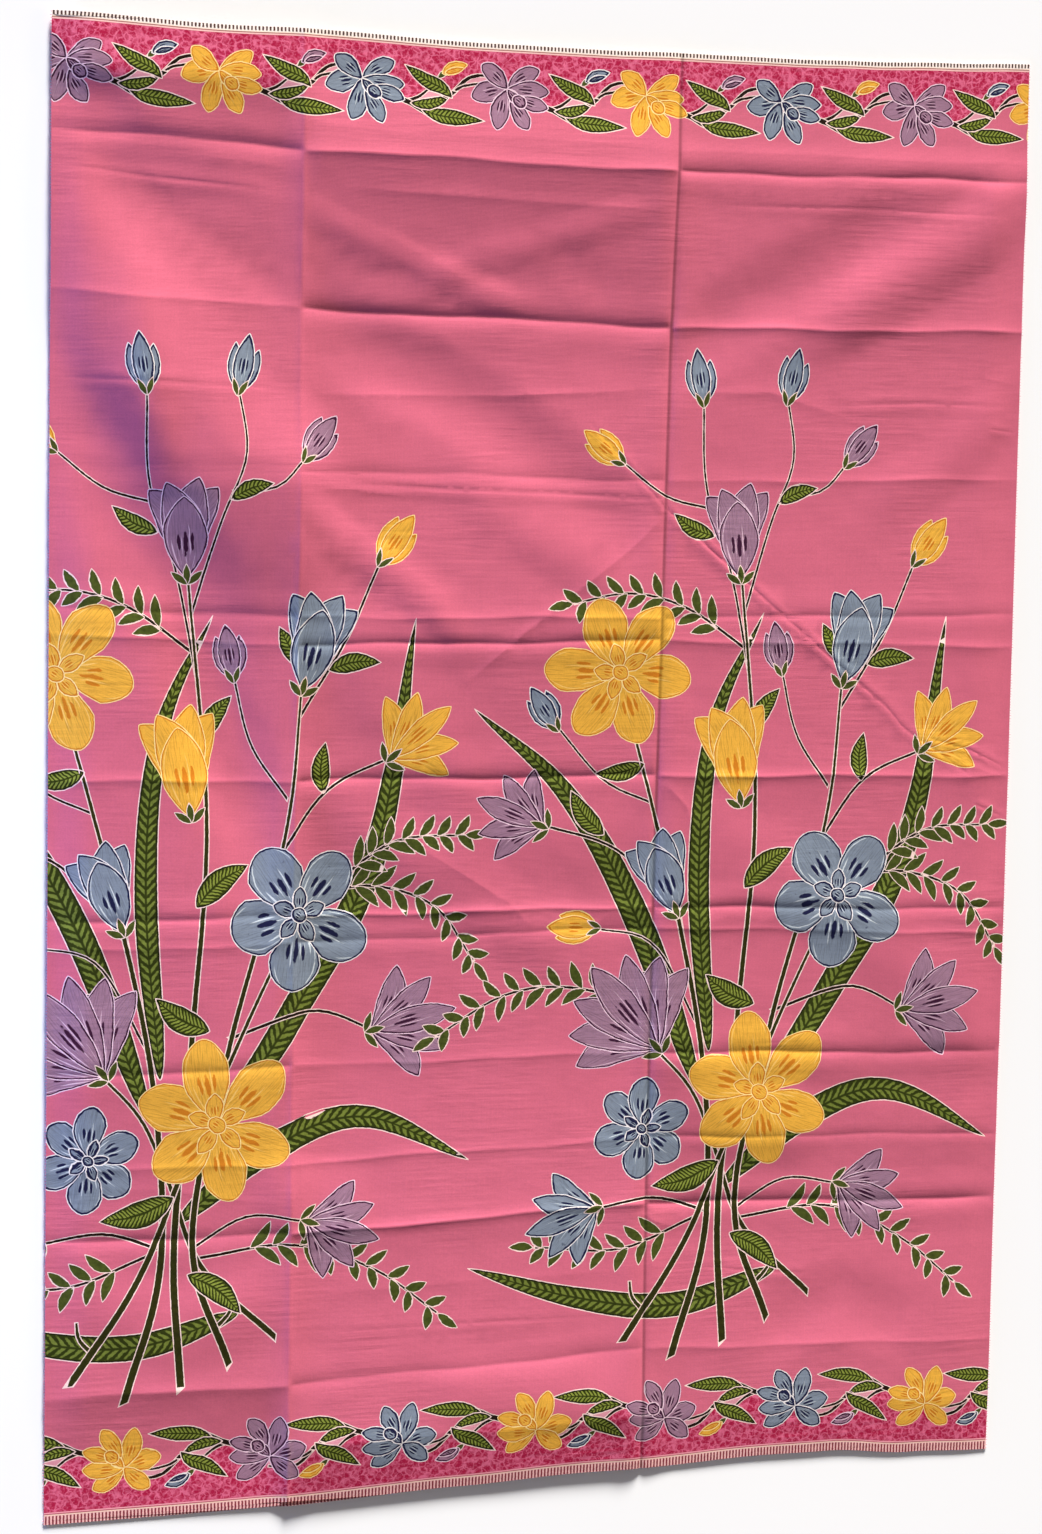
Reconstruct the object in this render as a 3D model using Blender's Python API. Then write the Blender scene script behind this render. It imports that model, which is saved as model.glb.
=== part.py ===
"""A batik cloth panel, opened out flat and still carrying the creases of its folding.

Metres, +Z up. X runs along the cloth's selvedges, Y from the bottom selvedge to the top one.
The panel is one woven piece with raw cut ends at left and right, so it is one wall: it touches
the surface at Z = 0 between its creases and rises over them in low ridges and soft shoulders.
The origin is the middle of the panel, on the surface.
"""

import math
from collections import namedtuple

import bmesh
import bpy

# Cut size of the panel and its thickness as a solid wall.
WIDTH = 0.778
LENGTH = 1.120
WALL = 0.0012

# The two lengthwise creases, as distances from the left end, split the panel in three.
CREASE_1 = 0.187
CREASE_2 = 0.480
CREASE_1_LIFT = 0.0030
CREASE_2_LIFT = -0.0015
CREASE_REACH = 0.040

# A cross fold dies out over this distance beside a lengthwise crease.
FADE = 0.016

# Largest spacing of the wall's stations between two folds.
ROW_STEP = 0.015
COLUMN_STEP = 0.030

# Cross folds. The first four columns are distances down from the top selvedge at the left end,
# the two creases and the right end. A lift above zero is a ridge's height. A lift below zero is
# a valley, which touches the surface between two shoulders of that height. Reach is the distance
# on each side of the fold over which the cloth comes back to the surface.
Fold = namedtuple(
    "Fold", "name left crease_1 crease_2 right lift_left lift_middle lift_right reach"
)
FOLDS = (
    Fold("fold_1", 0.080, 0.088, 0.092, 0.090, -0.0022, 0.0058, -0.0022, 0.038),
    Fold("fold_2", 0.198, 0.206, 0.213, 0.210, 0.0025, -0.0027, 0.0042, 0.038),
    Fold("fold_3", 0.328, 0.328, 0.333, 0.328, 0.0022, -0.0020, -0.0009, 0.036),
    Fold("fold_4", 0.428, 0.437, 0.436, 0.434, -0.0018, 0.0030, -0.0018, 0.028),
    Fold("fold_5", 0.453, 0.461, 0.457, 0.465, 0.0028, -0.0014, 0.0028, 0.028),
    Fold("fold_6", 0.558, 0.561, 0.562, 0.570, 0.0036, -0.0028, 0.0046, 0.038),
    Fold("fold_7", 0.662, 0.662, 0.664, 0.680, -0.0018, 0.0032, -0.0020, 0.028),
    Fold("fold_8", 0.683, 0.688, 0.684, 0.699, 0.0028, -0.0012, 0.0026, 0.028),
    Fold("fold_9", 0.777, 0.778, 0.778, 0.787, -0.0008, 0.0026, -0.0015, 0.036),
    Fold("fold_10", 0.852, 0.855, 0.849, 0.858, -0.0008, -0.0011, -0.0008, 0.018),
    Fold("fold_11", 0.905, 0.909, 0.900, 0.908, -0.0012, 0.0050, -0.0020, 0.034),
    Fold("fold_12", 1.017, 1.022, 1.012, 1.021, 0.0026, -0.0020, 0.0030, 0.038),
)

# Broad soft swells between folds: centre from the left end and from the top selvedge,
# half sizes both ways, and height.
Swell = namedtuple("Swell", "name across down half_width half_length height")
SWELLS = (
    Swell("upper_left", 0.095, 0.268, 0.090, 0.034, 0.0022),
    Swell("upper_middle", 0.340, 0.150, 0.120, 0.030, 0.0018),
    Swell("upper_right", 0.655, 0.150, 0.110, 0.032, 0.0020),
    Swell("middle", 0.300, 0.270, 0.090, 0.030, 0.0014),
    Swell("lower_right", 0.640, 0.960, 0.110, 0.026, 0.0014),
)

# How far the two selvedges bow in from the straight line between the panel's corners, where
# across is a share of the width. The notches are where the lengthwise creases pull.
Bow = namedtuple("Bow", "across top bottom")
BOWS = (
    Bow(0.00, 0.0000, 0.0000),
    Bow(0.17, 0.0040, 0.0000),
    Bow(0.24, 0.0034, 0.0004),
    Bow(0.42, 0.0069, 0.0050),
    Bow(0.55, 0.0072, 0.0080),
    Bow(0.62, 0.0062, 0.0074),
    Bow(0.74, 0.0060, 0.0100),
    Bow(0.82, 0.0048, 0.0094),
    Bow(0.91, 0.0026, 0.0030),
    Bow(1.00, 0.0000, 0.0000),
)

CLOTH_COLOUR = (0.610, 0.156, 0.216, 1.0)
CLOTH_ROUGHNESS = 0.75


def clear_scene():
    """Remove every object that the file opened with."""
    for item in list(bpy.data.objects):
        bpy.data.objects.remove(item, do_unlink=True)


def smooth_step(share):
    """0 to 1 with level ends, for a share that is held between 0 and 1."""
    held = min(max(share, 0.0), 1.0)
    return held * held * (3.0 - 2.0 * held)


def between(stations, values, place):
    """Value at a place, on straight runs between stations."""
    for k in range(1, len(stations)):
        if place <= stations[k]:
            share = (place - stations[k - 1]) / (stations[k] - stations[k - 1])
            return values[k - 1] + share * (values[k] - values[k - 1])
    return values[-1]


def bow_at(across, side):
    """Inward bow of the top or bottom selvedge, with an eased run between table rows."""
    share = across / WIDTH
    for low, high in zip(BOWS, BOWS[1:]):
        if share <= high.across:
            eased = smooth_step((share - low.across) / (high.across - low.across))
            return getattr(low, side) + eased * (getattr(high, side) - getattr(low, side))
    return getattr(BOWS[-1], side)


def fold_line(fold, across):
    """Distance of a fold from the top selvedge's straight line."""
    stations = (0.0, CREASE_1, CREASE_2, WIDTH)
    return between(stations, (fold.left, fold.crease_1, fold.crease_2, fold.right), across)


def fold_lift(fold, across):
    """A fold's lift, which dies out beside the lengthwise creases where its sense changes."""
    from_crease_1 = smooth_step(abs(across - CREASE_1) / FADE)
    from_crease_2 = smooth_step(abs(across - CREASE_2) / FADE)
    if across < CREASE_1:
        return fold.lift_left * from_crease_1
    if across < CREASE_2:
        return fold.lift_middle * from_crease_1 * from_crease_2
    return fold.lift_right * from_crease_2


def crease_section(offset, lift, reach):
    """Height beside a crease: a ridge for a lift above zero, else a valley's shoulder."""
    share = abs(offset) / reach
    if share >= 1.0:
        return 0.0
    if lift >= 0.0:
        return lift * (1.0 - share) ** 2
    # This section is 1 high at a third of the reach, and 0 at both of its ends.
    return -lift * 6.75 * share * (1.0 - share) ** 2


def swell_height(swell, across, down):
    """Height of one broad swell, 0 outside its oval."""
    off_across = (across - swell.across) / swell.half_width
    off_down = (down - swell.down) / swell.half_length
    inside = 1.0 - off_across**2 - off_down**2
    if inside <= 0.0:
        return 0.0
    return swell.height * inside**2


def relief(across, down):
    """Height of the cloth's underside above the surface."""
    height = crease_section(across - CREASE_1, CREASE_1_LIFT, CREASE_REACH)
    height += crease_section(across - CREASE_2, CREASE_2_LIFT, CREASE_REACH)
    for fold in FOLDS:
        offset = down - fold_line(fold, across)
        height += crease_section(offset, fold_lift(fold, across), fold.reach)
    for swell in SWELLS:
        height += swell_height(swell, across, down)
    return height


def stations_between(start, end, step):
    """Places from start up to but without end, closer together near both."""
    count = max(3, round(abs(end - start) / step))
    places = []
    for k in range(count):
        share = 0.5 - 0.5 * math.cos(math.pi * k / count)
        places.append(start + share * (end - start))
    return places


def column_places():
    """Distances of the wall's columns from the left end."""
    bounds = (0.0, CREASE_1, CREASE_2, WIDTH)
    places = []
    for start, end in zip(bounds, bounds[1:]):
        places += stations_between(start, end, COLUMN_STEP)
    return places + [WIDTH]


def row_places(across):
    """Distances of one column's points from the top selvedge's straight line."""
    middle = 0.5 * (CREASE_1 + CREASE_2)
    lines = [bow_at(across, "top")]
    lines += [fold_line(fold, across) for fold in FOLDS]
    lines += [LENGTH - bow_at(across, "bottom")]
    guides = [0.0] + [fold_line(fold, middle) for fold in FOLDS] + [LENGTH]
    places = []
    for k in range(len(lines) - 1):
        # Each column gets the same number of points, from the gaps at the panel's middle.
        for guide in stations_between(guides[k], guides[k + 1], ROW_STEP):
            share = (guide - guides[k]) / (guides[k + 1] - guides[k])
            places.append(lines[k] + share * (lines[k + 1] - lines[k]))
    return places + [lines[-1]]


def cloth_surface():
    """Bmesh of the underside, with its faces up and one row of points along each fold."""
    surface = bmesh.new()
    columns = []
    for across in column_places():
        column = []
        for down in row_places(across):
            place = (across - WIDTH / 2, LENGTH / 2 - down, relief(across, down))
            column.append(surface.verts.new(place))
        columns.append(column)
    for left, right in zip(columns, columns[1:]):
        for k in range(len(left) - 1):
            surface.faces.new((left[k], left[k + 1], right[k + 1], right[k]))
    bmesh.ops.triangulate(surface, faces=surface.faces[:])
    return surface


def cloth_material():
    """Plain-woven cotton in the cloth's ground pink."""
    material = bpy.data.materials.new("batik_cotton")
    material.use_nodes = True
    shader = material.node_tree.nodes["Principled BSDF"]
    shader.inputs["Base Color"].default_value = CLOTH_COLOUR
    shader.inputs["Roughness"].default_value = CLOTH_ROUGHNESS
    shader.inputs["Metallic"].default_value = 0.0
    return material


def make_cloth():
    """The panel: its underside thickened upward to a closed wall."""
    mesh = bpy.data.meshes.new("cloth")
    surface = cloth_surface()
    surface.to_mesh(mesh)
    surface.free()
    cloth = bpy.data.objects.new("cloth", mesh)
    bpy.context.scene.collection.objects.link(cloth)
    cloth.data.materials.append(cloth_material())
    wall = cloth.modifiers.new("wall", "SOLIDIFY")
    wall.thickness = WALL
    wall.offset = 1.0
    wall.use_even_offset = True
    wall.use_rim = True
    mesh.shade_smooth()
    return cloth


def main():
    clear_scene()
    make_cloth()


main()
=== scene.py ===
"""A length of floral batik cotton, opened out on a pale floor, with the creases of its folding.

Metres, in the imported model's frame: X runs along the selvedges, Y from the bottom selvedge to the
top one, Z up. The print is drawn on the flat cut: `across` is the distance from the left cut end
and `down` the distance from the top selvedge. The cloth then takes that print into its own shape.
"""

import math
import random
from collections import namedtuple

import bpy
import numpy as np
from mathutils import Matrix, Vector
from mathutils.geometry import delaunay_2d_cdt


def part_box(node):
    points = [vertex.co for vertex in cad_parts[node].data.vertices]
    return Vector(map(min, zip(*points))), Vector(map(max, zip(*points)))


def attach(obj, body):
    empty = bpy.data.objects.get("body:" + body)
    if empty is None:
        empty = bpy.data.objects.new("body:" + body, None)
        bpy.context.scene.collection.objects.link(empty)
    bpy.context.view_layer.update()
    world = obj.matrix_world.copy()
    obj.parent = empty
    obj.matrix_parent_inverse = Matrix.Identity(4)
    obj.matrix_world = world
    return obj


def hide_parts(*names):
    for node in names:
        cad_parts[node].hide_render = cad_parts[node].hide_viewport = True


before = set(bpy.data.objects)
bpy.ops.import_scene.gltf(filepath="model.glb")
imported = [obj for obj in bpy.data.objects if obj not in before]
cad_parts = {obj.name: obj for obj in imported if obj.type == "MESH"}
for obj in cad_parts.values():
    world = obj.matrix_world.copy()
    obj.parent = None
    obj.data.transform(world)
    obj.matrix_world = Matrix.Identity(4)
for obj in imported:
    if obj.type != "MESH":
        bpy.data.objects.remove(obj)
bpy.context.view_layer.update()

bl_info = {
    "name": "Batik cloth panel",
    "version": (1, 0, 0),
    "blender": (4, 5, 0),
    "location": "View3D > Sidebar > Batik",
    "description": "Builds a flat panel of floral batik cotton with the creases of its folding",
    "category": "Object",
}

CLOTH_LOW, CLOTH_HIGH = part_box("cloth")
WIDTH = round(CLOTH_HIGH.x - CLOTH_LOW.x, 3)
LENGTH = round(CLOTH_HIGH.y - CLOTH_LOW.y, 3)

MM = 0.001

# Shape of the cloth. Lengthwise creases start where the part's source has them, and cross folds
# lie within 9 mm of its own. Their pressed lines are sharper here than on the solid.

CREASE_1 = 0.187
CREASE_2 = 0.480
# The second lengthwise crease bends: how far it stands left of its line at most, where, and how
# fast it comes back. The cloth moves along from BEND_FROM on, fully after another BEND_OVER.
BEND_MOST = -0.0044
BEND_DOWN = 0.850
BEND_BACK = 0.0133
BEND_FROM = 0.30
BEND_OVER = 0.15

# Cross folds, in millimetres: distances down from the top selvedge at the left end, the two
# lengthwise creases and the right end. Then for the left, middle and right panels how high the
# fold lies, the height of its soft ridge and the height of its pressed line. A soft ridge below
# zero is a valley with shoulders, and a line below zero a groove. Reach is the soft ridge's.
# The rows without ridges give the height along both selvedges and the top border's edge.
Fold = namedtuple("Fold", "left crease_1 crease_2 right rises ridges lines reach")
FOLDS = (
    Fold(0, 0, 0, 0, (5.0, 2.4, 1.0), None, None, 0),
    Fold(38, 42, 46, 44, (7.0, 3.8, 1.8), None, None, 0),
    Fold(68, 73, 79, 79, (4.9, 7.0, 3.1), (0.1, 0.1, 0.1), (0.00, 0.00, 0.06), 20),
    Fold(83, 91, 96, 92, (4.1, 8.3, 3.5), (-0.4, 0.3, -0.6), (-0.30, 0.34, -0.30), 26),
    Fold(198, 208, 214, 210, (4.4, 1.4, 2.4), (0.5, -0.6, 0.9), (0.20, -0.30, 0.42), 30),
    Fold(328, 327, 332, 327, (5.0, 3.2, 2.8), (-0.3, -0.2, 0.3), (0.16, -0.10, 0.12), 26),
    Fold(430, 437, 437, 435, (4.6, 4.8, 4.1), (-0.3, 0.4, -0.2), (-0.10, 0.24, -0.18), 22),
    Fold(450, 458, 455, 460, (4.6, 4.6, 4.2), (0.3, -0.4, 0.4), (0.26, -0.35, 0.24), 22),
    Fold(558, 560, 560, 564, (4.6, 1.9, 4.7), (0.4, -0.4, 0.5), (0.30, -0.42, 0.42), 30),
    Fold(663, 663, 663, 672, (5.2, 0.3, 4.7), (-0.3, 0.4, -0.4), (-0.25, 0.54, -0.28), 22),
    Fold(684, 684, 679, 692, (5.2, 0.4, 4.4), (0.3, -0.2, 0.2), (0.26, -0.30, 0.28), 22),
    Fold(779, 778, 778, 789, (5.2, 0.2, 3.9), (-0.3, 0.4, -0.6), (-0.22, 0.22, -0.16), 28),
    Fold(850, 853, 846, 856, (3.8, 1.8, 2.3), (0.1, 0.1, -0.1), (0.22, 0.28, -0.22), 16),
    Fold(904, 907, 898, 910, (2.8, 3.2, 0.9), (-0.3, 0.6, -0.5), (-0.32, 0.48, -0.30), 28),
    Fold(1023, 1024, 1015, 1027, (3.7, 4.2, 2.9), (0.5, -0.3, 0.3), (0.20, -0.10, 0.16), 28),
    Fold(1070, 1074, 1070, 1074, (0.8, 5.8, 2.9), (0, 0, 0), (0, 0, 0), 20),
    Fold(1120, 1120, 1120, 1120, (0.2, 2.0, 0.6), None, None, 0),
)
# A pressed line reaches this far to each side. A fold changes its sense within FADE of a
# lengthwise crease, and one panel's height passes into the next one's within BLEND of it.
LINE_REACH = 0.0052
FADE = 0.005
BLEND = 0.018
# Folds waver: how far in metres, and over what length.
FOLD_WAVERS = ((0.0008, 0.031), (0.0004, 0.0125))
# How their heights waver: share of the height, and over what length.
RIDGE_WAVERS = ((0.14, 0.040), (0.10, 0.017))
# Slopes meet in kinks that are rounded over this distance, in the left, middle and right panels.
KINKS = (0.0030, 0.0010, 0.0010)
# Roundness of a fold's ridge in the left panel and in the others.
LEFT_SOFT = 0.0018
FOLD_SOFT = 0.0007
# Makes share * (1 - share)**2 one at its most, for a valley's shoulders.
SHOULDER = 6.75
# Within END_REACH of the two cut ends the cloth comes down to END_SHARE of its height.
END_REACH = 0.032
END_SHARE = 0.45
# A hollow flattens out within about this height of the floor.
FLOOR_SOFT = 0.0005

# The two lengthwise creases: place, height and reach of the soft ridge, then of the pressed line,
# in metres, and the roundness of both.
LENGTHWISE = (
    (CREASE_1, 0.0016, 0.026, 0.00080, 0.0044),
    (CREASE_2, -0.0005, 0.028, -0.00080, 0.0042),
)
CREASE_SOFT = 0.0010
CREASE_LINE_SOFT = 0.0004

# How far the selvedges bow in, in metres, at shares of the width.
Bow = namedtuple("Bow", "across top bottom")
BOWS = (
    Bow(0.00, 0.0000, 0.0000),
    Bow(0.17, 0.0040, 0.0000),
    Bow(0.24, 0.0034, 0.0004),
    Bow(0.42, 0.0069, 0.0050),
    Bow(0.55, 0.0072, 0.0080),
    Bow(0.62, 0.0062, 0.0074),
    Bow(0.74, 0.0060, 0.0100),
    Bow(0.82, 0.0048, 0.0094),
    Bow(0.91, 0.0026, 0.0030),
    Bow(1.00, 0.0000, 0.0000),
)

# Small wrinkles, which the solid doesn't have, in millimetres: points across and down, height
# of the ridge, or below zero of a valley's shoulders, and reach to each side. Fall is the reach
# on the lower side, where it differs.
Wrinkle = namedtuple("Wrinkle", "places lift reach fall", defaults=(None,))


def wrinkles(*rows):
    """Rows of a table as wrinkles."""
    return tuple(Wrinkle(*row) for row in rows)


WRINKLES = wrinkles(
    (((1, 109), (75, 116), (167, 122)), -0.23, 9),
    (((110, 100), (140, 101), (172, 104)), 0.21, 7),
    (((217, 118), (330, 121), (473, 126)), 0.38, 10),
    (((518, 120), (640, 118), (758, 120)), -0.16, 8),
    (((1, 262), (46, 263), (169, 267)), -0.23, 10),
    (((199, 271), (345, 269), (401, 266), (476, 261)), 0.38, 7),
    (((486, 264), (565, 262), (637, 283)), 0.34, 9),
    (((615, 271), (690, 268), (767, 269)), -0.21, 9),
    (((190, 340), (232, 341), (274, 346)), 0.29, 7),
    (((230, 337), (300, 340), (380, 342), (430, 344), (477, 346)), -0.32, 10),
    (((511, 333), (643, 329), (770, 327)), 0.17, 7),
    (((414, 286), (478, 352), (569, 428), (669, 508), (684, 525), (749, 567)), -0.40, 8),
    (((747, 586), (778, 599)), -0.26, 6),
    (((478, 359), (448, 387), (364, 450), (319, 488)), 0.42, 8),
    (((262, 598), (359, 658), (381, 682)), 0.25, 8),
    (((199, 125), (285, 167), (314, 184), (374, 201)), 0.38, 20),
    (((693, 529), (743, 543), (776, 558)), -0.26, 6),
    (((716, 548), (776, 566)), 0.24, 6),
    (((516, 951), (566, 958), (616, 963)), -0.18, 8),
    (((200, 955), (324, 952), (458, 951)), 0.17, 9),
    (((203, 985), (325, 985), (449, 987)), -0.13, 9),
    (((20, 862), (94, 869), (180, 884)), 0.17, 9),
    (((745, 247), (777, 252)), 0.21, 6),
    (((750, 287), (777, 290)), -0.13, 6),
    (((482, 565), (500, 583), (512, 604)), 0.34, 8),
    (((478, 664), (497, 676), (520, 684)), 0.29, 7),
    (((470, 905), (486, 915), (505, 918)), 0.25, 7),
)

# Broad soft drapes, in the same form and millimetres: points of a crest, or for a height below
# zero of a hollow.
DRAPES = wrinkles(
    # The left panel's great swag, with hollows above and below it.
    (((-50, 60), (-10, 128), (20, 185), (47, 225), (64, 258), (104, 306)), 3.9, 60, 48),
    (((26, 196), (88, 272), (130, 316), (172, 340), (232, 354)), 6.4, 74, 108),
    (((-50, 46), (-10, 54), (30, 60), (70, 66)), -1.6, 28),
    (((-20, 70), (40, 105), (90, 140), (140, 172), (210, 215)), -1.8, 54),
    (((40, 106), (80, 134), (116, 160), (150, 182), (190, 210)), -0.5, 15),
    (((-24, 262), (30, 318), (66, 366), (98, 412), (118, 455), (136, 512), (158, 580),
      (188, 650)), -3.6, 58),
    (((78, 438), (112, 500), (146, 560), (190, 622)), -2.0, 44),
    # The middle panel's crossed ridges and slanting hollows.
    (((170, 126), (196, 140), (243, 161), (285, 176), (316, 188), (375, 212)), 0.9, 17),
    (((240, 210), (295, 181), (330, 166), (369, 156), (420, 138), (490, 118)), 0.75, 18),
    (((360, 140), (390, 160), (440, 196)), -0.4, 20),
    (((180, 206), (232, 236), (280, 258), (330, 284), (380, 318), (430, 352), (484, 376)),
     -2.2, 38),
    (((180, 352), (199, 364), (226, 386), (257, 402), (288, 425), (330, 456)), 1.5, 22),
    (((290, 328), (350, 366), (420, 402), (470, 424)), 1.0, 26),
    (((205, 458), (262, 503), (310, 550), (350, 612)), 1.1, 46),
    (((160, 548), (218, 585), (303, 636), (412, 700), (460, 726)), 1.3, 36),
    (((280, 1038), (400, 1046), (500, 1060)), 1.6, 36),
    (((240, 606), (330, 604), (400, 602), (490, 604)), 1.0, 34, 60),
    (((150, 868), (200, 884), (260, 900)), 1.4, 40),
    # The right panel's slanting ridge, with a hollow above it, then single ones.
    (((575, 225), (615, 205), (662, 180), (723, 144), (770, 112), (840, 72)), 2.8, 36),
    (((460, 248), (505, 222), (560, 190), (620, 156), (700, 112)), -2.0, 38),
    (((630, 358), (699, 325), (750, 285), (800, 246)), 1.0, 32),
    (((480, 590), (600, 650), (790, 780)), 1.2, 42),
    (((470, 770), (510, 812), (560, 836), (640, 850)), 1.5, 46),
    (((620, 788), (700, 798), (760, 804), (840, 806)), -1.2, 44),
    (((560, 1010), (640, 985), (720, 1015)), -1.2, 36),
    (((0, 930), (90, 980), (200, 950)), 1.2, 40),
)
# Roundness of a wrinkle's line, and the share of a drape's width over which each end fades.
WRINKLE_SOFT = 0.0003
DRAPE_FADE = 0.27

# The print, in millimetres on the flat cut

# Border: where each flower's middle stands along the selvedge, and its dye. The bottom border is
# the top one turned half round. A unit runs from its flower to the next one.
BORDER_TOP = (
    (-102, "blue"), (10, "lilac"), (122, "yellow"), (231, "blue"), (344, "lilac"),
    (455, "yellow"), (567, "blue"), (679, "lilac"), (789, "yellow"),
)
BORDER_BOTTOM = (
    (-49, "blue"), (61, "yellow"), (174, "lilac"), (278, "blue"), (387, "yellow"),
    (495, "lilac"), (607, "blue"), (721, "yellow"), (832, "lilac"),
)
BUD_AFTER = {"lilac": "blue", "yellow": "lilac", "blue": "yellow"}

# Petals of a border flower, the lowest first: foot from the flower's middle, direction with 90
# toward the field, length and half width.
BORDER_PETALS = (
    (1, 0, 167, 30, 8.8),
    (0, 0, 105, 33, 8.2),
    (0, 0, -30, 30, 7.4),
    (1, 1, -141, 28, 7.6),
    (0, 0, 2, 33, 7.4),
    (2, 8, 58, 28, 7.4),
    (6, 6, 17, 29, 6.4),
    (0, 0, 44, 15, 4.6),
)
BORDER_EYE = (10, 9.5, 6.4)

# Length of the last unit of a border, and where the crimson strip starts, in metres.
UNIT_LENGTH = 0.110
STRIP_START = 0.003
# The vine that parts the crimson strip from the ground, from a flower's middle to the next one.
VINE = ((0, 0), (33, 14), (50, 8), (68, 8), (75, 1), (82, -5.5), (92, -8.5), (110, -2))
# Pale fills between the two lines of a double stem.
WEDGES = (
    ((33, 14), (43, 10.5), (52, 4), (60, 3), (66, 7), (54, 11), (43, 15.5)),
    ((74, 2), (78, -3), (83, -6.5), (92, -9), (106, -8), (106, 0), (92, -2.4), (82, -0.5)),
)
# Stem lines: points, then half width at their start and end.
BORDER_STEMS = (
    (((27, 11.5), (33.5, 14.2), (43.5, 10.8), (53, 3.2)), 2.2, 1.3),
    (((30, 13), (38, 15.6), (44, 19), (51, 22.4)), 2.5, 2.2),
    (((64, 9.5), (71, 5.5), (76, 0), (82.5, -6), (92, -8.8), (106, -7)), 2.3, 1.3),
    (((72, 4.5), (77, 0.6), (83, -0.9), (92, -2.3), (104, 0)), 1.6, 1.3),
    (((57, -2), (60, -5.5), (63, -9)), 1.8, 1.5),
)
# Leaves: points, half width.
BORDER_LEAVES = (
    (((45, 19), (58, 23), (74, 24.4), (96, 25.6)), 6.6),
    (((37, 15.6), (50, 15.6), (61, 12.2), (70, 6.5)), 5.0),
    (((70.5, 10), (63, 3), (50, -2.2), (32.5, -13)), 6.4),
)

# The small leaf at a bud's foot, then the bud's outer and inner petal, in the same form.
BORDER_BUD_LEAF = (((59, -4.5), (63, -8), (68, -11)), 2.6)
BORDER_BUD = (
    (((62, -8), (72, -13.5), (82.5, -16.2)), 5.0),
    (((64, -8.5), (72, -11), (80, -13.4)), 3.0),
)

# Field: sprays of common garden flowers on a tie of stems. Places are right of and above the tie.
SPRAY_TIES = ((93, 903), (532.5, 903))
STRAP_LEAVES = (
    (((-16, 90), (-70, 230), (-130, 330), (-206, 398)), 11.5),
    (((20, 60), (96, 170), (158, 290), (186, 468)), 12.0),
    (((6, 10), (74, 62), (150, 84), (236, 44)), 11.5),
    (((54, -62), (-26, -84), (-112, -74), (-204, -42)), 11.0),
    (((-8, 120), (-20, 260), (-10, 380), (30, 470)), 9.5),
)
# Stems: points, half width at the foot and at the top.
SPRAY_STEMS = (
    (((-76, -112), (-22, -30), (14, 60), (58, 160), (92, 232)), 3.4, 1.7),
    (((-34, -128), (-6, -20), (-14, 120), (-44, 260), (-82, 400)), 3.6, 1.7),
    (((10, -120), (4, -10), (16, 150), (26, 320), (10, 505)), 3.6, 1.6),
    (((48, -104), (18, -6), (44, 140), (86, 300), (98, 420)), 3.4, 1.6),
    (((84, -84), (26, -26), (0, 40), (-22, 90), (-56, 128)), 3.0, 1.7),
    (((-59, -86), (-68, -75), (-70, -62)), 2.4, 1.6),
    (((37, -72), (47, -61), (50, -49)), 2.4, 1.5),
    (((80, 284), (118, 336), (170, 362)), 1.7, 1.5),
    (((-36, 226), (-84, 282), (-150, 306)), 1.7, 1.5),
    (((19, 418), (2, 500), (-20, 568), (-24, 638)), 1.45, 1.3),
    (((13, 468), (34, 540), (52, 590), (46, 640)), 1.45, 1.3),
    (((-16, 552), (-54, 562), (-92, 590)), 1.5, 1.3),
    (((42, 562), (76, 566), (98, 588)), 1.5, 1.3),
    (((96, 392), (132, 452), (158, 512)), 1.6, 1.4),
    (((-18, 142), (-56, 208), (-104, 222)), 1.5, 1.3),
    (((44, 150), (110, 168), (160, 150)), 1.8, 1.5),
    (((-58, 320), (-100, 340), (-140, 384)), 1.5, 1.3),
    (((-12, 102), (-24, 174), (-36, 236)), 1.6, 1.4),
    (((-6, -10), (-50, 4), (-98, -2)), 1.8, 1.5),
    (((18, -10), (60, 12), (106, 6)), 1.6, 1.4),
    (((88, 330), (60, 372), (46, 424)), 1.5, 1.3),
)
# Sprigs: points of the stalk, number of leaflet pairs.
SPRIGS = (
    (((-60, 160), (-126, 176), (-178, 172), (-232, 142)), 9),
    (((108, 258), (158, 262), (206, 244), (238, 200)), 8),
    (((124, 264), (172, 296), (228, 300)), 7),
    (((21, -18), (96, -12), (160, -36), (212, -76)), 9),
    (((17, 440), (-34, 474), (-82, 486), (-128, 478)), 8),
    (((-15, -14), (-80, -36), (-150, -30)), 7),
)
# Leaves beside a stem: place, direction in degrees, length, half width.
PAIRED_LEAVES = (
    (-12, 530, 152, 40, 7.5),
    (40, 556, 20, 36, 7.0),
    (104, 430, 128, 40, 8.0),
    (118, 428, 8, 42, 8.0),
    (-98, 296, 128, 46, 9.0),
    (116, 334, 88, 40, 8.0),
    (18, 250, 38, 52, 10.5),
    (30, 156, 148, 50, 10.5),
    (4, 30, 196, 60, 11.0),
    (-66, 352, 190, 42, 8.0),
    (24, 376, 58, 40, 8.0),
    (-36, 180, 176, 46, 9.0),
    (14, -30, -38, 54, 10.0),
)
# Buds: place of the foot, direction, length, half width, dye.
BUDS = (
    (-24, 634, 98, 44, 10.5, "blue"),
    (46, 636, 78, 44, 10.5, "blue"),
    (-90, 588, 142, 40, 10.5, "yellow"),
    (97, 586, 52, 42, 11.0, "lilac"),
    (157, 509, 54, 46, 12.0, "yellow"),
    (-139, 381, 124, 40, 10.5, "blue"),
    (-102, 222, 176, 42, 12.0, "yellow"),
    (46, 422, 100, 42, 11.0, "lilac"),
)
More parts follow.
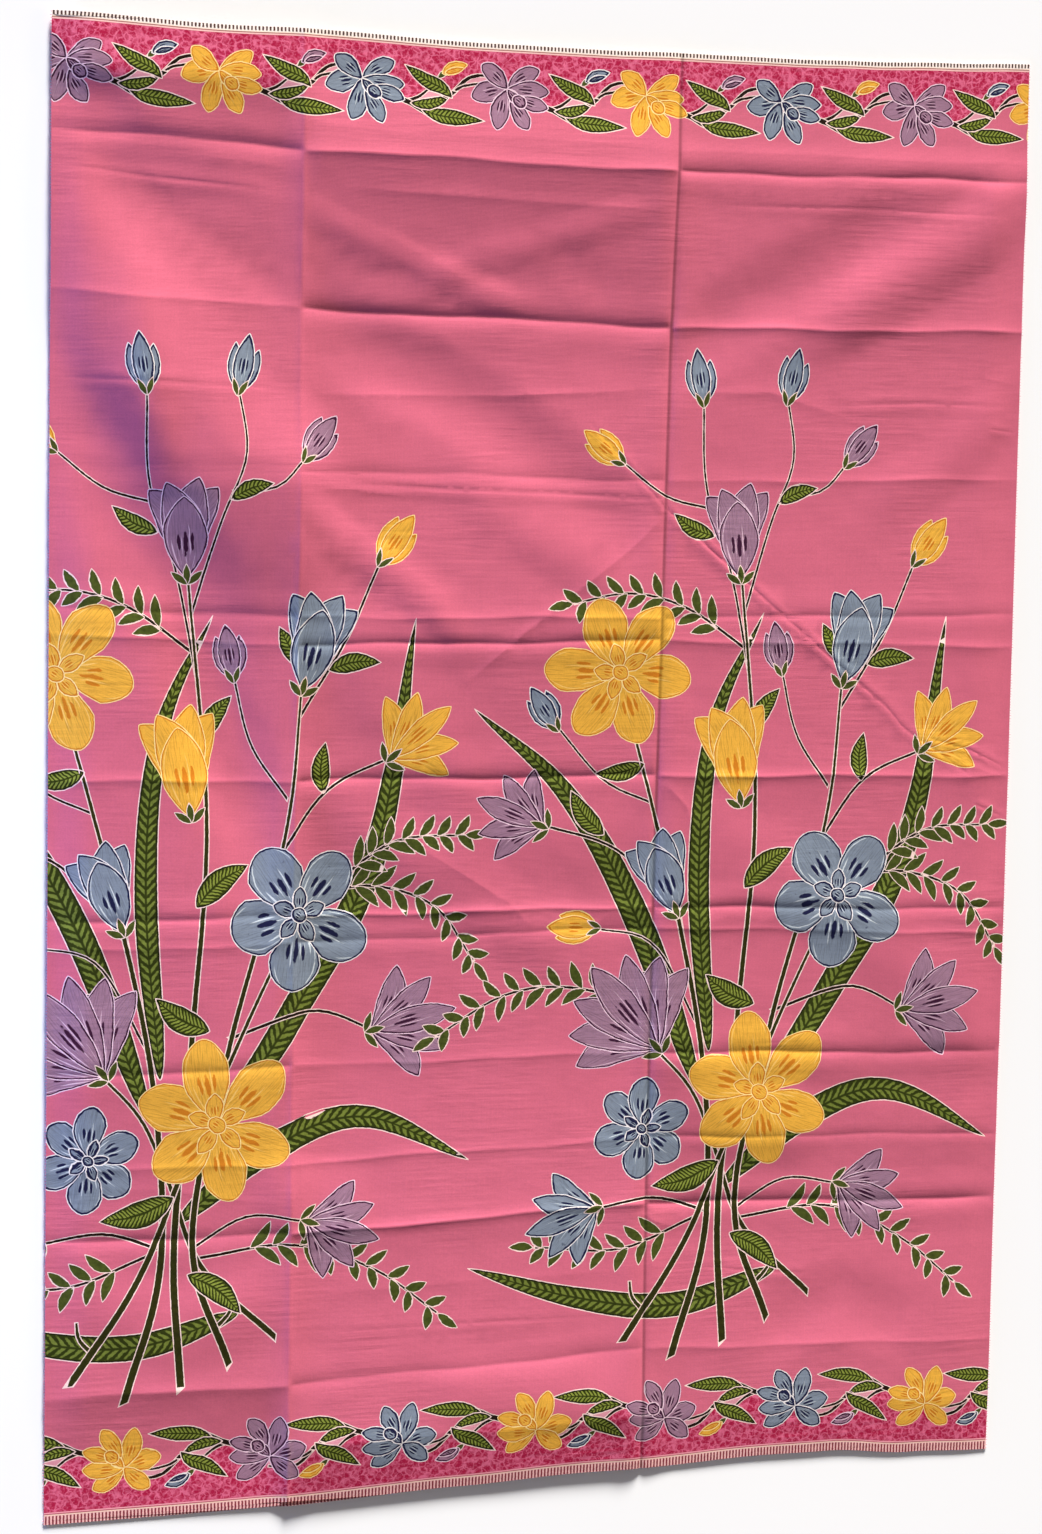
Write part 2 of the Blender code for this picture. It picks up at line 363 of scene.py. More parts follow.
# Their petals: lean in degrees, share of the length and of the half width.
BUD_PETALS = ((-16, 0.80, 0.62), (14, 0.84, 0.62), (0, 1.0, 0.80))
# Cups, seen from the side: foot, direction, length, half width, dye. Then their petals.
CUPS = (
    (10, 496, 94, 74, 27, "lilac"),
    (98, 412, 76, 76, 28, "blue"),
    (14, 318, 99, 82, 30, "yellow"),
    (-37, 232, 110, 68, 26, "blue"),
)
CUP_PETALS = (
    (-21, 0.98, 0.60),
    (21, 0.98, 0.60),
    (-9, 1.04, 0.58),
    (10, 1.0, 0.56),
    (0, 0.84, 0.62),
)
# Fans, seen from the side: foot, direction, length, spread in degrees, petals, dye.
FANS = (
    (-50, 124, 130, 88, 120, 7, "lilac"),
    (168, 360, 40, 62, 112, 5, "yellow"),
    (-148, 304, 156, 60, 112, 5, "lilac"),
    (156, 150, 12, 70, 112, 5, "lilac"),
    (-98, -2, 196, 62, 110, 5, "blue"),
    (106, 6, -18, 62, 110, 5, "lilac"),
)
# Open flowers: middle, radius, petals, half width of a petal, turn, dye.
OPEN_FLOWERS = (
    (-88, 424, 62, 6, 18.0, 8, "yellow"),
    (98, 242, 60, 5, 21.0, 96, "blue"),
    (-62, 60, 44, 6, 13.5, 40, "blue"),
    (36, 84, 66, 6, 19.0, 20, "yellow"),
)

# Half width of a form is sin(pi * share**lean) ** blunt.
FORMS = {
    "petal": (1.38, 0.56),
    "border_petal": (1.22, 0.62),
    "broad_petal": (1.32, 0.50),
    "pointed_petal": (1.10, 0.74),
    "bud": (0.88, 0.72),
    "leaf": (0.84, 0.86),
    "strap": (0.70, 0.66),
    "leaflet": (0.92, 0.80),
    "disc": (1.00, 0.50),
}

# Depth of the ring inside each motif, within which its wax line and outline lie.
RING = 0.0026

DYES = (
    "ground", "crimson", "wedge", "stem", "branch", "strap_leaf", "border_leaf", "leaflet",
    "yellow", "blue", "lilac", "comb_top", "comb_bottom",
)

COMB_TOP_DEPTH = 0.0062
COMB_BOTTOM_DEPTH = 0.0096


def linear(code):
    """Scene-linear RGBA of an sRGB hex code."""
    values = [int(code[k : k + 2], 16) / 255 for k in (1, 3, 5)]
    values = [v / 12.92 if v <= 0.04045 else ((v + 0.055) / 1.055) ** 2.4 for v in values]
    return (*values, 1.0)


def shaded(colour, share):
    """A colour made darker by a share under 1, or lighter by one over 1."""
    return tuple(min(1.0, share * value) for value in colour[:3]) + (1.0,)


# Settings

COLOUR = {"subtype": "COLOR", "size": 4}


class BATIK_PG_cloth(bpy.types.PropertyGroup):
    """Sizes of the cloth and its print."""

    shell: bpy.props.FloatProperty(
        name="Shell thickness", default=0.0006, unit="LENGTH",
        description="Thickness of the cloth's shell, drawn thicker than the real 0.25 mm",
    )
    column_step: bpy.props.FloatProperty(
        name="Column spacing", default=0.0135, unit="LENGTH",
        description="Largest spacing of the cloth's points along a fold",
    )
    motif_step: bpy.props.FloatProperty(
        name="Motif spacing", default=0.004, unit="LENGTH",
        description="Spacing of the points along a motif's outline",
    )
    border_depth: bpy.props.FloatProperty(
        name="Border flower depth", default=0.033, unit="LENGTH",
        description="Distance from the selvedge to the middle of a border flower",
    )
    lower_border_depth: bpy.props.FloatProperty(
        name="Lower border flower depth", default=0.0395, unit="LENGTH",
        description="Distance from the bottom selvedge to the middle of a border flower",
    )
    border_radius: bpy.props.FloatProperty(
        name="Border flower radius", default=0.030, unit="LENGTH",
        description="Length of a border flower's petals",
    )


class BATIK_PG_dyes(bpy.types.PropertyGroup):
    """Dye colours of the print."""

    ground: bpy.props.FloatVectorProperty(
        name="Ground", default=linear("#D2687F"), **COLOUR,
        description="Pink of the field",
    )
    crimson: bpy.props.FloatVectorProperty(
        name="Crimson", default=linear("#AA1C42"), **COLOUR,
        description="Red of the border strip",
    )
    vein: bpy.props.FloatVectorProperty(
        name="Crackle", default=linear("#E06C8C"), **COLOUR,
        description="Pale veins where dye ran into the cracked wax",
    )
    yellow: bpy.props.FloatVectorProperty(
        name="Yellow", default=linear("#E8AC40"), **COLOUR,
        description="Yellow petals",
    )
    blue: bpy.props.FloatVectorProperty(
        name="Blue", default=linear("#7F8997"), **COLOUR,
        description="Blue-grey petals",
    )
    lilac: bpy.props.FloatVectorProperty(
        name="Lilac", default=linear("#9C758A"), **COLOUR,
        description="Lilac petals",
    )
    leaf: bpy.props.FloatVectorProperty(
        name="Leaf", default=linear("#2E350C"), **COLOUR,
        description="Dark green of the leaves",
    )
    cream: bpy.props.FloatVectorProperty(
        name="Wax line", default=linear("#F5D7CD"), **COLOUR,
        description="Cream line where the wax kept the dye out",
    )


class BATIK_PG_threads(bpy.types.PropertyGroup):
    """Sizes of the thread ends along the cut ends and the turns along the selvedges."""

    end_pitch: bpy.props.FloatProperty(
        name="Thread end pitch", default=0.0022, unit="LENGTH",
        description="Spacing of the loose thread ends along a cut end",
    )
    end_length: bpy.props.FloatProperty(
        name="Thread end length", default=0.0014, unit="LENGTH",
        description="Longest loose thread end",
    )
    turn_pitch: bpy.props.FloatProperty(
        name="Selvedge turn pitch", default=0.0018, unit="LENGTH",
        description="Spacing of the weft's turns along a selvedge",
    )
    turn_length: bpy.props.FloatProperty(
        name="Selvedge turn length", default=0.0005, unit="LENGTH",
        description="How far a weft turn stands out of the selvedge",
    )
    radius: bpy.props.FloatProperty(
        name="Thread radius", default=0.00022, unit="LENGTH",
        description="Radius of a drawn thread",
    )


class BATIK_PG_stage(bpy.types.PropertyGroup):
    """Floor, light and camera."""

    floor_size: bpy.props.FloatProperty(
        name="Floor size", default=9.0, unit="LENGTH",
        description="Side of the square floor",
    )
    key: bpy.props.FloatProperty(
        name="Key light", default=11.75,
        description="Strength of the low soft key light from beyond the top selvedge",
    )
    key_rise: bpy.props.FloatProperty(
        name="Key light's rise", default=math.radians(13), subtype="ANGLE",
        description="Angle of the key light above the floor",
    )
    fill: bpy.props.FloatProperty(
        name="Fill light", default=0.16,
        description="Strength of the even light from all round",
    )
    violet: bpy.props.FloatProperty(
        name="Violet lamp", default=5.1,
        description="Power of the low violet lamp beyond the left end",
    )
    lens: bpy.props.FloatProperty(
        name="Lens", default=80.73, unit="CAMERA",
        description="Focal length for a picture 36 mm tall",
    )


# Shape


def smooth_step(share):
    """0 to 1 with level ends, for shares that are held between 0 and 1."""
    held = np.clip(share, 0.0, 1.0)
    return held * held * (3.0 - 2.0 * held)


def bow_at(across, side):
    """Inward bow of the top or bottom selvedge, with an eased run between table rows."""
    places = np.array([row.across for row in BOWS]) * WIDTH
    values = np.array([getattr(row, side) for row in BOWS])
    low = np.clip(np.searchsorted(places, across, side="right") - 1, 0, len(BOWS) - 2)
    eased = smooth_step((across - places[low]) / (places[low + 1] - places[low]))
    return values[low] + eased * (values[low + 1] - values[low])


def fold_line(fold, across):
    """Distance of a fold from the top selvedge's straight line."""
    bounds = (0.0, CREASE_1, CREASE_2, WIDTH)
    line = np.interp(across, bounds, (fold.left, fold.crease_1, fold.crease_2, fold.right)) / 1000
    for most, length in FOLD_WAVERS:
        line = line + most * waver(across, length, fold)
    return line


def waver(across, length, fold):
    """Even waver along a fold between -1 and 1, with its own start for each fold."""
    return np.sin(across / length + 0.9 * fold.left * (1.0 + 20.0 * length))


def by_panel(across, values, reach):
    """A value for the left, middle and right panels, eased from one to the next one within a
    distance of the lengthwise creases."""
    second = smooth_step(0.5 + 0.5 * (across - CREASE_1) / reach)
    third = smooth_step(0.5 + 0.5 * (across - CREASE_2) / reach)
    return values[0] + second * (values[1] - values[0]) + third * (values[2] - values[1])


def crease_section(offset, lift, reach, soft=0.0):
    """Height beside a crease: a ridge for a lift above zero, else a valley's shoulders. Its line
    is rounded over a distance of soft."""
    share = (np.hypot(offset, soft) - soft) / reach
    inside = np.clip(1.0 - share, 0.0, None)
    return np.where(lift >= 0.0, lift * inside**2, -lift * SHOULDER * share * inside**2)


def line_section(offset, lift, reach, soft):
    """Height beside a pressed line: a sharp crest, or a groove for a lift below zero."""
    share = (np.hypot(offset, soft) - soft) / reach
    return lift * np.clip(1.0 - share, 0.0, None) ** 2


def drape_section(offset, lift, reach):
    """Height beside the crest of a broad soft drape, which is round on top."""
    inside = np.clip(1.0 - (offset / reach) ** 2, 0.0, None)
    return lift * inside**2


def zigzag(across, down):
    """Height of the plain slopes between one fold and the next, in metres."""
    lines = np.array([fold_line(fold, across) for fold in FOLDS])
    highs = np.array([by_panel(across, fold.rises, BLEND) for fold in FOLDS]) / 1000
    height = np.zeros_like(across)
    round_off = by_panel(across, KINKS, BLEND)
    for shift in (-1.0, 0.0, 1.0):
        at = down + shift * round_off
        row = np.clip((at[None, :] >= lines).sum(axis=0) - 1, 0, len(FOLDS) - 2)
        each = np.arange(len(across))
        low, high = lines[row, each], lines[row + 1, each]
        share = np.clip((at - low) / (high - low), 0.0, 1.0)
        height += (highs[row, each] + share * (highs[row + 1, each] - highs[row, each])) / 3
    return height


def lengths_so_far(line):
    """Length along a line of straight runs at each of its points."""
    return np.concatenate(([0.0], np.cumsum(np.hypot(*(np.diff(line, axis=0).T)))))


def directions(line):
    """Unit tangents and unit normals at the points of a line."""
    tangent = np.gradient(line, axis=0)
    tangent /= np.maximum(np.hypot(tangent[:, 0], tangent[:, 1]), 1e-9)[:, None]
    return tangent, np.stack((-tangent[:, 1], tangent[:, 0]), axis=1)


def nearest_on_line(points, line):
    """Distance to a line of straight runs, signed side, and length along it, for each point."""
    starts = line[:-1]
    runs = line[1:] - starts
    lengths = np.maximum(np.hypot(runs[:, 0], runs[:, 1]), 1e-12)
    to_point = points[:, None, :] - starts[None, :, :]
    share = np.clip((to_point * runs).sum(axis=2) / lengths**2, 0.0, 1.0)
    off = to_point - share[:, :, None] * runs
    distance = np.hypot(off[:, :, 0], off[:, :, 1])
    best = distance.argmin(axis=1)
    each = np.arange(len(points))
    along = lengths_so_far(line)[best] + share[each, best] * lengths[best]
    cross = runs[best, 0] * to_point[each, best, 1] - runs[best, 1] * to_point[each, best, 0]
    return distance[each, best], np.sign(cross), along


def wrinkle_height(wrinkle, across, down, is_drape):
    """Height of one wrinkle, deepest at uneven places, or of one drape. Both are gone at their
    ends."""
    line = np.array(wrinkle.places, float) / 1000
    reach = wrinkle.reach / 1000
    fall = reach if wrinkle.fall is None else wrinkle.fall / 1000
    height = np.zeros(len(across))
    low = line.min(axis=0) - max(reach, fall)
    high = line.max(axis=0) + max(reach, fall)
    near = (across > low[0]) & (across < high[0]) & (down > low[1]) & (down < high[1])
    if not near.any():
        return height
    distance, side, along = nearest_on_line(np.stack((across[near], down[near]), axis=1), line)
    reach = np.where(side > 0.0, fall, reach)
    lift = wrinkle.lift / 1000 * np.ones(near.sum())
    if is_drape:
        share = (across[near] - line[0, 0]) / (line[-1, 0] - line[0, 0])
        depth = smooth_step(np.minimum(share, 1.0 - share) / DRAPE_FADE)
        section = drape_section(distance, lift, reach)
    else:
        share = along / lengths_so_far(line)[-1]
        depth = np.clip(4.0 * share * (1.0 - share), 0.0, 1.0) ** 0.6
        depth *= 0.82 + 0.18 * np.sin(along / 0.021 + line[0, 1] * 90)
        section = crease_section(distance, lift, reach, WRINKLE_SOFT)
    height[near] = section * depth
    return height


def crease_drift(across, down):
    """How far right of its straight line the second lengthwise crease stands. It takes the cloth
    beside it along."""
    bend = BEND_MOST + BEND_BACK * (down - BEND_DOWN) ** 2
    return bend * smooth_step((across - BEND_FROM) / BEND_OVER)


def relief(across, down):
    """Height of the cloth above the floor, without its thickness, for arrays of places."""
    straight = across - crease_drift(across, down)
    uneven = 0.75 + 0.25 * np.sin(down / 0.037) * np.sin(down / 0.0113 + 2.0)
    height = zigzag(straight, down)
    for place, lift, reach, line_lift, line_reach in LENGTHWISE:
        offset = straight - place
        height += crease_section(offset, lift * np.ones_like(across), reach, CREASE_SOFT)
        height += line_section(offset, line_lift * uneven, line_reach, CREASE_LINE_SOFT)
    soft = np.where(across < CREASE_1, LEFT_SOFT, FOLD_SOFT)
    for fold in FOLDS:
        if fold.ridges is None:
            continue
        offset = down - fold_line(fold, straight)
        vary = 1.0
        for share, length in RIDGE_WAVERS:
            vary = vary + share * waver(straight, length, fold)
        ridge = by_panel(straight, fold.ridges, FADE) / 1000 * vary
        line = by_panel(straight, fold.lines, FADE) / 1000 * vary
        height += crease_section(offset, ridge, fold.reach / 1000, soft)
        height += line_section(offset, line, LINE_REACH, 0.3 * soft)
    for wrinkle in WRINKLES:
        height += wrinkle_height(wrinkle, across, down, False)
    for drape in DRAPES:
        height += wrinkle_height(drape, across, down, True)
    # The two cut ends hang down toward the floor.
    inward = np.minimum(across, WIDTH - across)
    height *= END_SHARE + (1.0 - END_SHARE) * smooth_step(inward / END_REACH)
    # The floor holds the cloth up where a hollow would pass below it.
    return 0.5 * (height + np.sqrt(height**2 + FLOOR_SOFT**2))


def relief_normals(across, down):
    """Upward unit normals of the relief, from its slopes over a millimetre."""
    step = 0.0005
    slope_x = (relief(across + step, down) - relief(across - step, down)) / (2 * step)
    slope_y = (relief(across, down - step) - relief(across, down + step)) / (2 * step)
    normals = np.stack((-slope_x, -slope_y, np.ones(len(across))), axis=1)
    return normals / np.linalg.norm(normals, axis=1)[:, None]


def printed_to_lying(places):
    """From the flat cut (across, down) to where the cloth lies, between its bowed selvedges."""
    top = bow_at(places[:, 0], "top")
    bottom = bow_at(places[:, 0], "bottom")
    down = top + places[:, 1] / LENGTH * (LENGTH - top - bottom)
    return np.stack((places[:, 0], down), axis=1)


def lying_to_printed(places):
    """From where the cloth lies back to the flat cut."""
    top = bow_at(places[:, 0], "top")
    bottom = bow_at(places[:, 0], "bottom")
    down = (places[:, 1] - top) * LENGTH / (LENGTH - top - bottom)
    return np.stack((places[:, 0], down), axis=1)


# Print motifs

Motif = namedtuple("Motif", "dye line half outline inner depth")


def smooth_line(places, step, ease):
    """Evenly eased stations on a smooth curve through places, and their shares of its length."""
    points = np.array(places, float)
    padded = np.vstack((2 * points[0] - points[1], points, 2 * points[-1] - points[-2]))
    dense = []
    for k in range(len(points) - 1):
        a, b, c, d = padded[k : k + 4]
        for t in np.linspace(0.0, 1.0, 14, endpoint=False):
            squares = (2 * a - 5 * b + 4 * c - d) * t**2
            cubes = (3 * b - a - 3 * c + d) * t**3
            dense.append(0.5 * (2 * b + (c - a) * t + squares + cubes))
    dense.append(points[-1])
    dense = np.array(dense)
    so_far = lengths_so_far(dense)
    count = int(np.clip(round(so_far[-1] / step), 7, 60))
    shares = np.linspace(0.0, 1.0, count + 1)
    if ease:
        shares = 0.5 - 0.5 * np.cos(math.pi * shares)
    at = shares * so_far[-1]
    line = np.stack([np.interp(at, so_far, dense[:, axis]) for axis in (0, 1)], axis=1)
    return line, shares


def ribbon(dye, places, half_width, form, step, end_half=None, wave=0.0, seed=0):
    """One motif: a form laid along a curve. A form of None keeps a stem's width, which changes
    evenly to end_half. The wave makes the two edges a little uneven, as drawn by hand."""
    is_stem = form is None
    line, shares = smooth_line(places, 2.0 * step if is_stem else step, not is_stem)
    if is_stem:
        end_half = half_width if end_half is None else end_half
        half = half_width + (end_half - half_width) * shares
    else:
        lean, blunt = FORMS[form]
        half = half_width * np.sin(math.pi * shares**lean).clip(0.0) ** blunt
        half[0] = half[-1] = 0.0
    tangent, normal = directions(line)
    chance = random.Random(seed)
    phases = [chance.uniform(0.0, 6.28) for _ in range(4)]
    sides = []
    for first, second in (phases[:2], phases[2:]):
        uneven = 0.6 * np.sin(2.3 * math.pi * shares + first)
        uneven += 0.4 * np.sin(6.1 * math.pi * shares + second)
        sides.append(half * (1.0 + wave * uneven))
    left = line + normal * sides[0][:, None]
    right = line - normal * sides[1][:, None]
    if is_stem:
        # The foot is cut aslant.
        left[0] += 0.8 * half[0] * tangent[0]
        right[0] -= 0.8 * half[0] * tangent[0]
        outline = np.vstack((left, right[::-1]))
        near_foot = line[:1] + 0.4 * (line[1:2] - line[:1])
        near_top = line[-1:] + 0.4 * (line[-2:-1] - line[-1:])
        middle = np.vstack((near_foot, line[1:-1], near_top))
        return Motif(dye, line, half, outline, [(middle, False)], half_width)
    outline = np.vstack((left, right[-2:0:-1]))
    return Motif(dye, line, half, outline, inner_lines(line, outline), RING)


def inner_lines(line, outline):
    """Lines inside a form that the mesh keeps: a ring at a steady depth where the form is wide
    enough, and its middle line toward its tips."""
    closed = np.vstack((outline, outline[:1]))
    wide = np.flatnonzero(nearest_on_line(line, closed)[0] > 1.02 * RING)
    if len(wide) < 3:
        return [(line[1:-1], False)]
    run = np.roll(outline, -1, axis=0) - np.roll(outline, 1, axis=0)
    run /= np.maximum(np.hypot(run[:, 0], run[:, 1]), 1e-9)[:, None]
    # The outline runs out on its left side and back on its right side, so it turns clockwise.
    ring = outline + RING * np.stack((run[:, 1], -run[:, 0]), axis=1)
    ring = ring[nearest_on_line(ring, closed)[0] > 0.94 * RING]
    inner = [(ring, True)]
    low, high = wide[0], wide[-1]
    if low > 1:
        inner.append((line[1:low], False))
    if high < len(line) - 2:
        inner.append((line[high + 1 : -1], False))
    return inner


def toward(place, degrees, distance):
    """Place at a distance from another, at an angle from the X direction, Y up."""
    angle = math.radians(degrees)
    return (place[0] + distance * math.cos(angle), place[1] + distance * math.sin(angle))


def bent(start, degrees, length, bend):
    """Three points of a slightly bent line, bend being its sideways share of the length."""
    middle = toward(start, degrees, 0.5 * length)
    middle = toward(middle, degrees + 90, bend * length)
    return (start, middle, toward(start, degrees, length))


def petal_ring(dye, middle, radius, count, half, turn, form, step, seed):
    """Petals round a middle, uneven in turn and length."""
    chance = random.Random(seed)
    motifs = []
    for k in range(count):
        degrees = turn + 360.0 * k / count + chance.uniform(-5.0, 5.0)
        length = radius * chance.uniform(0.90, 1.03)
        start = toward(middle, degrees, 0.05 * radius)
        places = bent(start, degrees, length - 0.05 * radius, chance.uniform(-0.05, 0.05))
        wide = half * chance.uniform(0.92, 1.08)
        motifs.append(ribbon(dye, places, wide, form, step, wave=0.06, seed=seed + k))
    return motifs


def eye(dye, middle, radius, step, seed):
    """Small round middle of a flower."""
    places = (toward(middle, 35, -radius), toward(middle, 35, radius))
    return ribbon(dye, places, radius * 0.86, "disc", step, wave=0.05, seed=seed)


def border_unit(middle, dye, sizes, seed):
    """Motifs of one border unit under its flower: stems, leaves and bud, with millimetres turned
    to metres. A unit's places are right of its flower and toward the field."""
    step = sizes.motif_step
    motifs = []

    def placed(points):
        return [(middle[0] + x * MM, middle[1] + y * MM) for x, y in points]

    for points, foot, top in BORDER_STEMS:
        motifs.append(
            ribbon("stem", placed(points), foot * MM, None, step * 0.5, end_half=top * MM)
        )
    for number, (points, half) in enumerate(BORDER_LEAVES):
        motifs.append(ribbon("border_leaf", placed(points), half * MM, "leaf", step, wave=0.04,
                             seed=seed + number))
    points, half = BORDER_BUD_LEAF
    motifs.append(ribbon("leaflet", placed(points), half * MM, "leaf", step * 0.6))
    for number, (points, half) in enumerate(BORDER_BUD):
        motifs.append(ribbon(BUD_AFTER[dye], placed(points), half * MM, "bud", step, wave=0.05,
                             seed=seed + 5 + number))
    return motifs


def border_flower(middle, dye, sizes, seed):
    """Flower of one border unit: seven petals, and a small one in front that curls over."""
    step = sizes.motif_step
    grow = sizes.border_radius / 0.030 * MM
    chance = random.Random(seed)
    motifs = []
    for number, (x, y, degrees, length, half) in enumerate(BORDER_PETALS):
        start = (middle[0] + x * grow, middle[1] + y * grow)
        long = length * grow * chance.uniform(0.96, 1.04)
        places = bent(start, degrees + chance.uniform(-3.0, 3.0), long,
                      chance.uniform(-0.06, 0.06))
        motifs.append(ribbon(dye, places, half * grow, "border_petal", step * 0.8, wave=0.07,
                             seed=seed + number))
    x, y, radius = BORDER_EYE
    at = (middle[0] + x * grow, middle[1] + y * grow)
    motifs.append(eye(dye, at, radius * grow, step * 0.7, seed + 9))
    return motifs


def border_motifs(sizes):
    """Every motif of both borders. Flowers lie over the stems and leaves beside them."""
    motifs = []
    for side, flowers in (("top", BORDER_TOP), ("bottom", BORDER_BOTTOM)):
        under = []
        over = []
        depth = sizes.border_depth if side == "top" else sizes.lower_border_depth
        for number, (across, dye) in enumerate(flowers):
            place = across / 1000 if side == "top" else WIDTH - across / 1000
            seed = 100 * number + (7 if side == "top" else 57)
            middle = (place, depth)
            under += border_unit(middle, dye, sizes, seed)
            over += border_flower(middle, dye, sizes, seed)
        both = under + over
        motifs += both if side == "top" else [turned_half(motif) for motif in both]
    return motifs


def sprig_motifs(places, pairs, step, seed):
    """A stalk with leaflets that stand off it in pairs, and one at its end."""
    line, _ = smooth_line(places, 0.002, False)
    motifs = [ribbon("stem", places, 0.0017, None, step, end_half=0.0013)]
    chance = random.Random(seed)
    for k in range(pairs):
        at = int((0.20 + 0.74 * k / (pairs - 1)) * (len(line) - 1))
        ahead = line[min(at + 1, len(line) - 1)] - line[at - 1]
        degrees = math.degrees(math.atan2(ahead[1], ahead[0]))
        for side in (-1, 1):
            start = tuple(line[min(at + (1 if side > 0 else 0), len(line) - 1)])
            lean = degrees + side * chance.uniform(42, 60)
            length = chance.uniform(0.0220, 0.0265) * (1.0 - 0.28 * k / pairs)
            bend = -side * chance.uniform(0.04, 0.10)
            motifs.append(
                ribbon("leaflet", bent(start, lean, length, bend), 0.0045, "leaflet", step * 0.8)
            )
    ahead = line[-1] - line[-3]
    degrees = math.degrees(math.atan2(ahead[1], ahead[0]))
    last = bent(tuple(line[-1]), degrees, 0.021, 0.03)
    motifs.append(ribbon("leaflet", last, 0.0042, "leaflet", step * 0.8))
    return motifs


def calyx(placed, foot, degrees, leans, length, half, step):
    """Small green leaves round the foot of a flower that is seen from the side."""
    return [
        ribbon("leaflet", placed(bent(foot, degrees + lean, length, 0.0)), half * MM, "leaflet",
               step * 0.7)
        for lean in leans
    ]


def bud_motifs(placed, number, bud, step):
    """A closed bud with two small leaves at its foot."""
    x, y, degrees, length, half, dye = bud
    motifs = []
    for lean, share, wide in BUD_PETALS:
        places = bent((x, y), degrees + lean, length * share, lean / 300)
        motifs.append(ribbon(dye, placed(places), half * wide * MM, "bud", step, wave=0.04,
                             seed=number))
    foot = toward((x, y), degrees, -4)
    return motifs + calyx(placed, foot, degrees, (-24, 24), 0.34 * length, 2.6, step)


def cup_motifs(placed, number, cup, step):
    """A half-open flower of five petals seen from the side."""
    x, y, degrees, length, half, dye = cup
    motifs = []
    for lean, share, wide in CUP_PETALS:
        places = bent((x, y), degrees + lean, length * share, -lean / 130)
        motifs.append(ribbon(dye, placed(places), half * wide * MM, "pointed_petal", step,
                             wave=0.05, seed=number + int(lean)))
    foot = toward((x, y), degrees, -4)
    return motifs + calyx(placed, foot, degrees, (-50, 0, 50), 16, 3.2, step)


def fan_motifs(placed, number, fan, step):
    """An open flower seen from the side, its outer petals shorter and under the inner ones."""
    x, y, degrees, length, spread, count, dye = fan
    motifs = []
    for k in sorted(range(count), key=lambda k: -abs(k - (count - 1) / 2)):
        lean = spread * (k / (count - 1) - 0.5)
        share = 1.0 - 0.22 * abs(lean) / (0.5 * spread)
        places = bent((x, y), degrees + lean, length * share, -lean / 500)
        motifs.append(ribbon(dye, placed(places), 0.155 * length * MM, "pointed_petal", step,
                             wave=0.06, seed=number + k))
    foot = toward((x, y), degrees, -5)
    return motifs + calyx(placed, foot, degrees, (-60, 0, 60), 17, 3.2, step)


def open_flower_motifs(placed, number, flower, step):
    """A flower seen from above. A large one has a second ring of small petals."""
    x, y, radius, count, half, turn, dye = flower
    middle = placed(((x, y),))[0]
    form = "broad_petal" if count < 6 else "petal"
    motifs = petal_ring(dye, middle, radius * MM, count, half * MM, turn, form, step,
                        300 + 20 * number)
    if radius > 40:
        motifs += petal_ring(dye, middle, 0.40 * radius * MM, 5, 0.11 * radius * MM,
                             turn + 31, "pointed_petal", step, 360 + 20 * number)
    return motifs + [eye(dye, middle, 0.12 * radius * MM, step * 0.7, number)]


def spray_motifs(tie, sizes):
    """One spray, in metres on the flat cut. Later motifs lie over earlier ones."""
    step = sizes.motif_step
    motifs = []

    def placed(points):
        return [(tie[0] + x * MM, tie[1] - y * MM) for x, y in points]

    for number, (points, half) in enumerate(STRAP_LEAVES):
        motifs.append(ribbon("strap_leaf", placed(points), half * MM, "strap", 2 * step,
                             wave=0.03, seed=number))
    for points, pairs in SPRIGS:
        motifs += sprig_motifs(placed(points), pairs, step, len(motifs))
    # Side stems lie under the main ones that they grow from.
    for points, foot, top in reversed(SPRAY_STEMS):
        dye = "branch" if foot > 2.0 else "stem"
        motifs.append(ribbon(dye, placed(points), foot * MM, None, step, end_half=top * MM))
    for x, y, degrees, length, half in PAIRED_LEAVES:
        places = bent((x, y), degrees, length, 0.08)
        motifs.append(ribbon("border_leaf", placed(places), half * MM, "leaf", step, wave=0.04,
                             seed=int(x + y)))
    for rows, make in (
        (BUDS, bud_motifs),
        (CUPS, cup_motifs),
        (FANS, fan_motifs),
        (OPEN_FLOWERS, open_flower_motifs),
    ):
        for number, row in enumerate(rows):
            motifs += make(placed, number, row, step)
    return motifs


def plain_region(dye, outline):
    """A flat area of one dye, with no line inside its edge."""
    return Motif(dye, None, None, np.array(outline, float), [], 1.0)


def border_grounds(sizes):
    """Crimson strips and the pale fills of the double stems, along both selvedges."""
    regions = []
    for side, flowers in (("top", BORDER_TOP), ("bottom", BORDER_BOTTOM)):
        ordered = flowers if side == "top" else [
            (WIDTH * 1000 - across, dye) for across, dye in reversed(flowers)
        ]
        depth = sizes.border_depth if side == "top" else sizes.lower_border_depth
        places = [across / 1000 for across, _ in ordered]
        edge = []
        made = []
        for number, start in enumerate(places):
            last = number + 1 == len(places)
            gap = UNIT_LENGTH if last else places[number + 1] - start
            for x, y in VINE[:-1]:
                edge.append((start + x * gap / VINE[-1][0], depth + y * MM))
            for wedge in WEDGES:
                points = [(start + x * MM, depth + y * MM) for x, y in wedge]
                made.append(plain_region("wedge", points))
        end = places[-1] + UNIT_LENGTH
        outline = [(places[0], STRIP_START), *edge, (end, depth), (end, STRIP_START)]
        made.insert(0, plain_region("crimson", outline))
        regions += made if side == "top" else [turned_half(region) for region in made]
    return regions


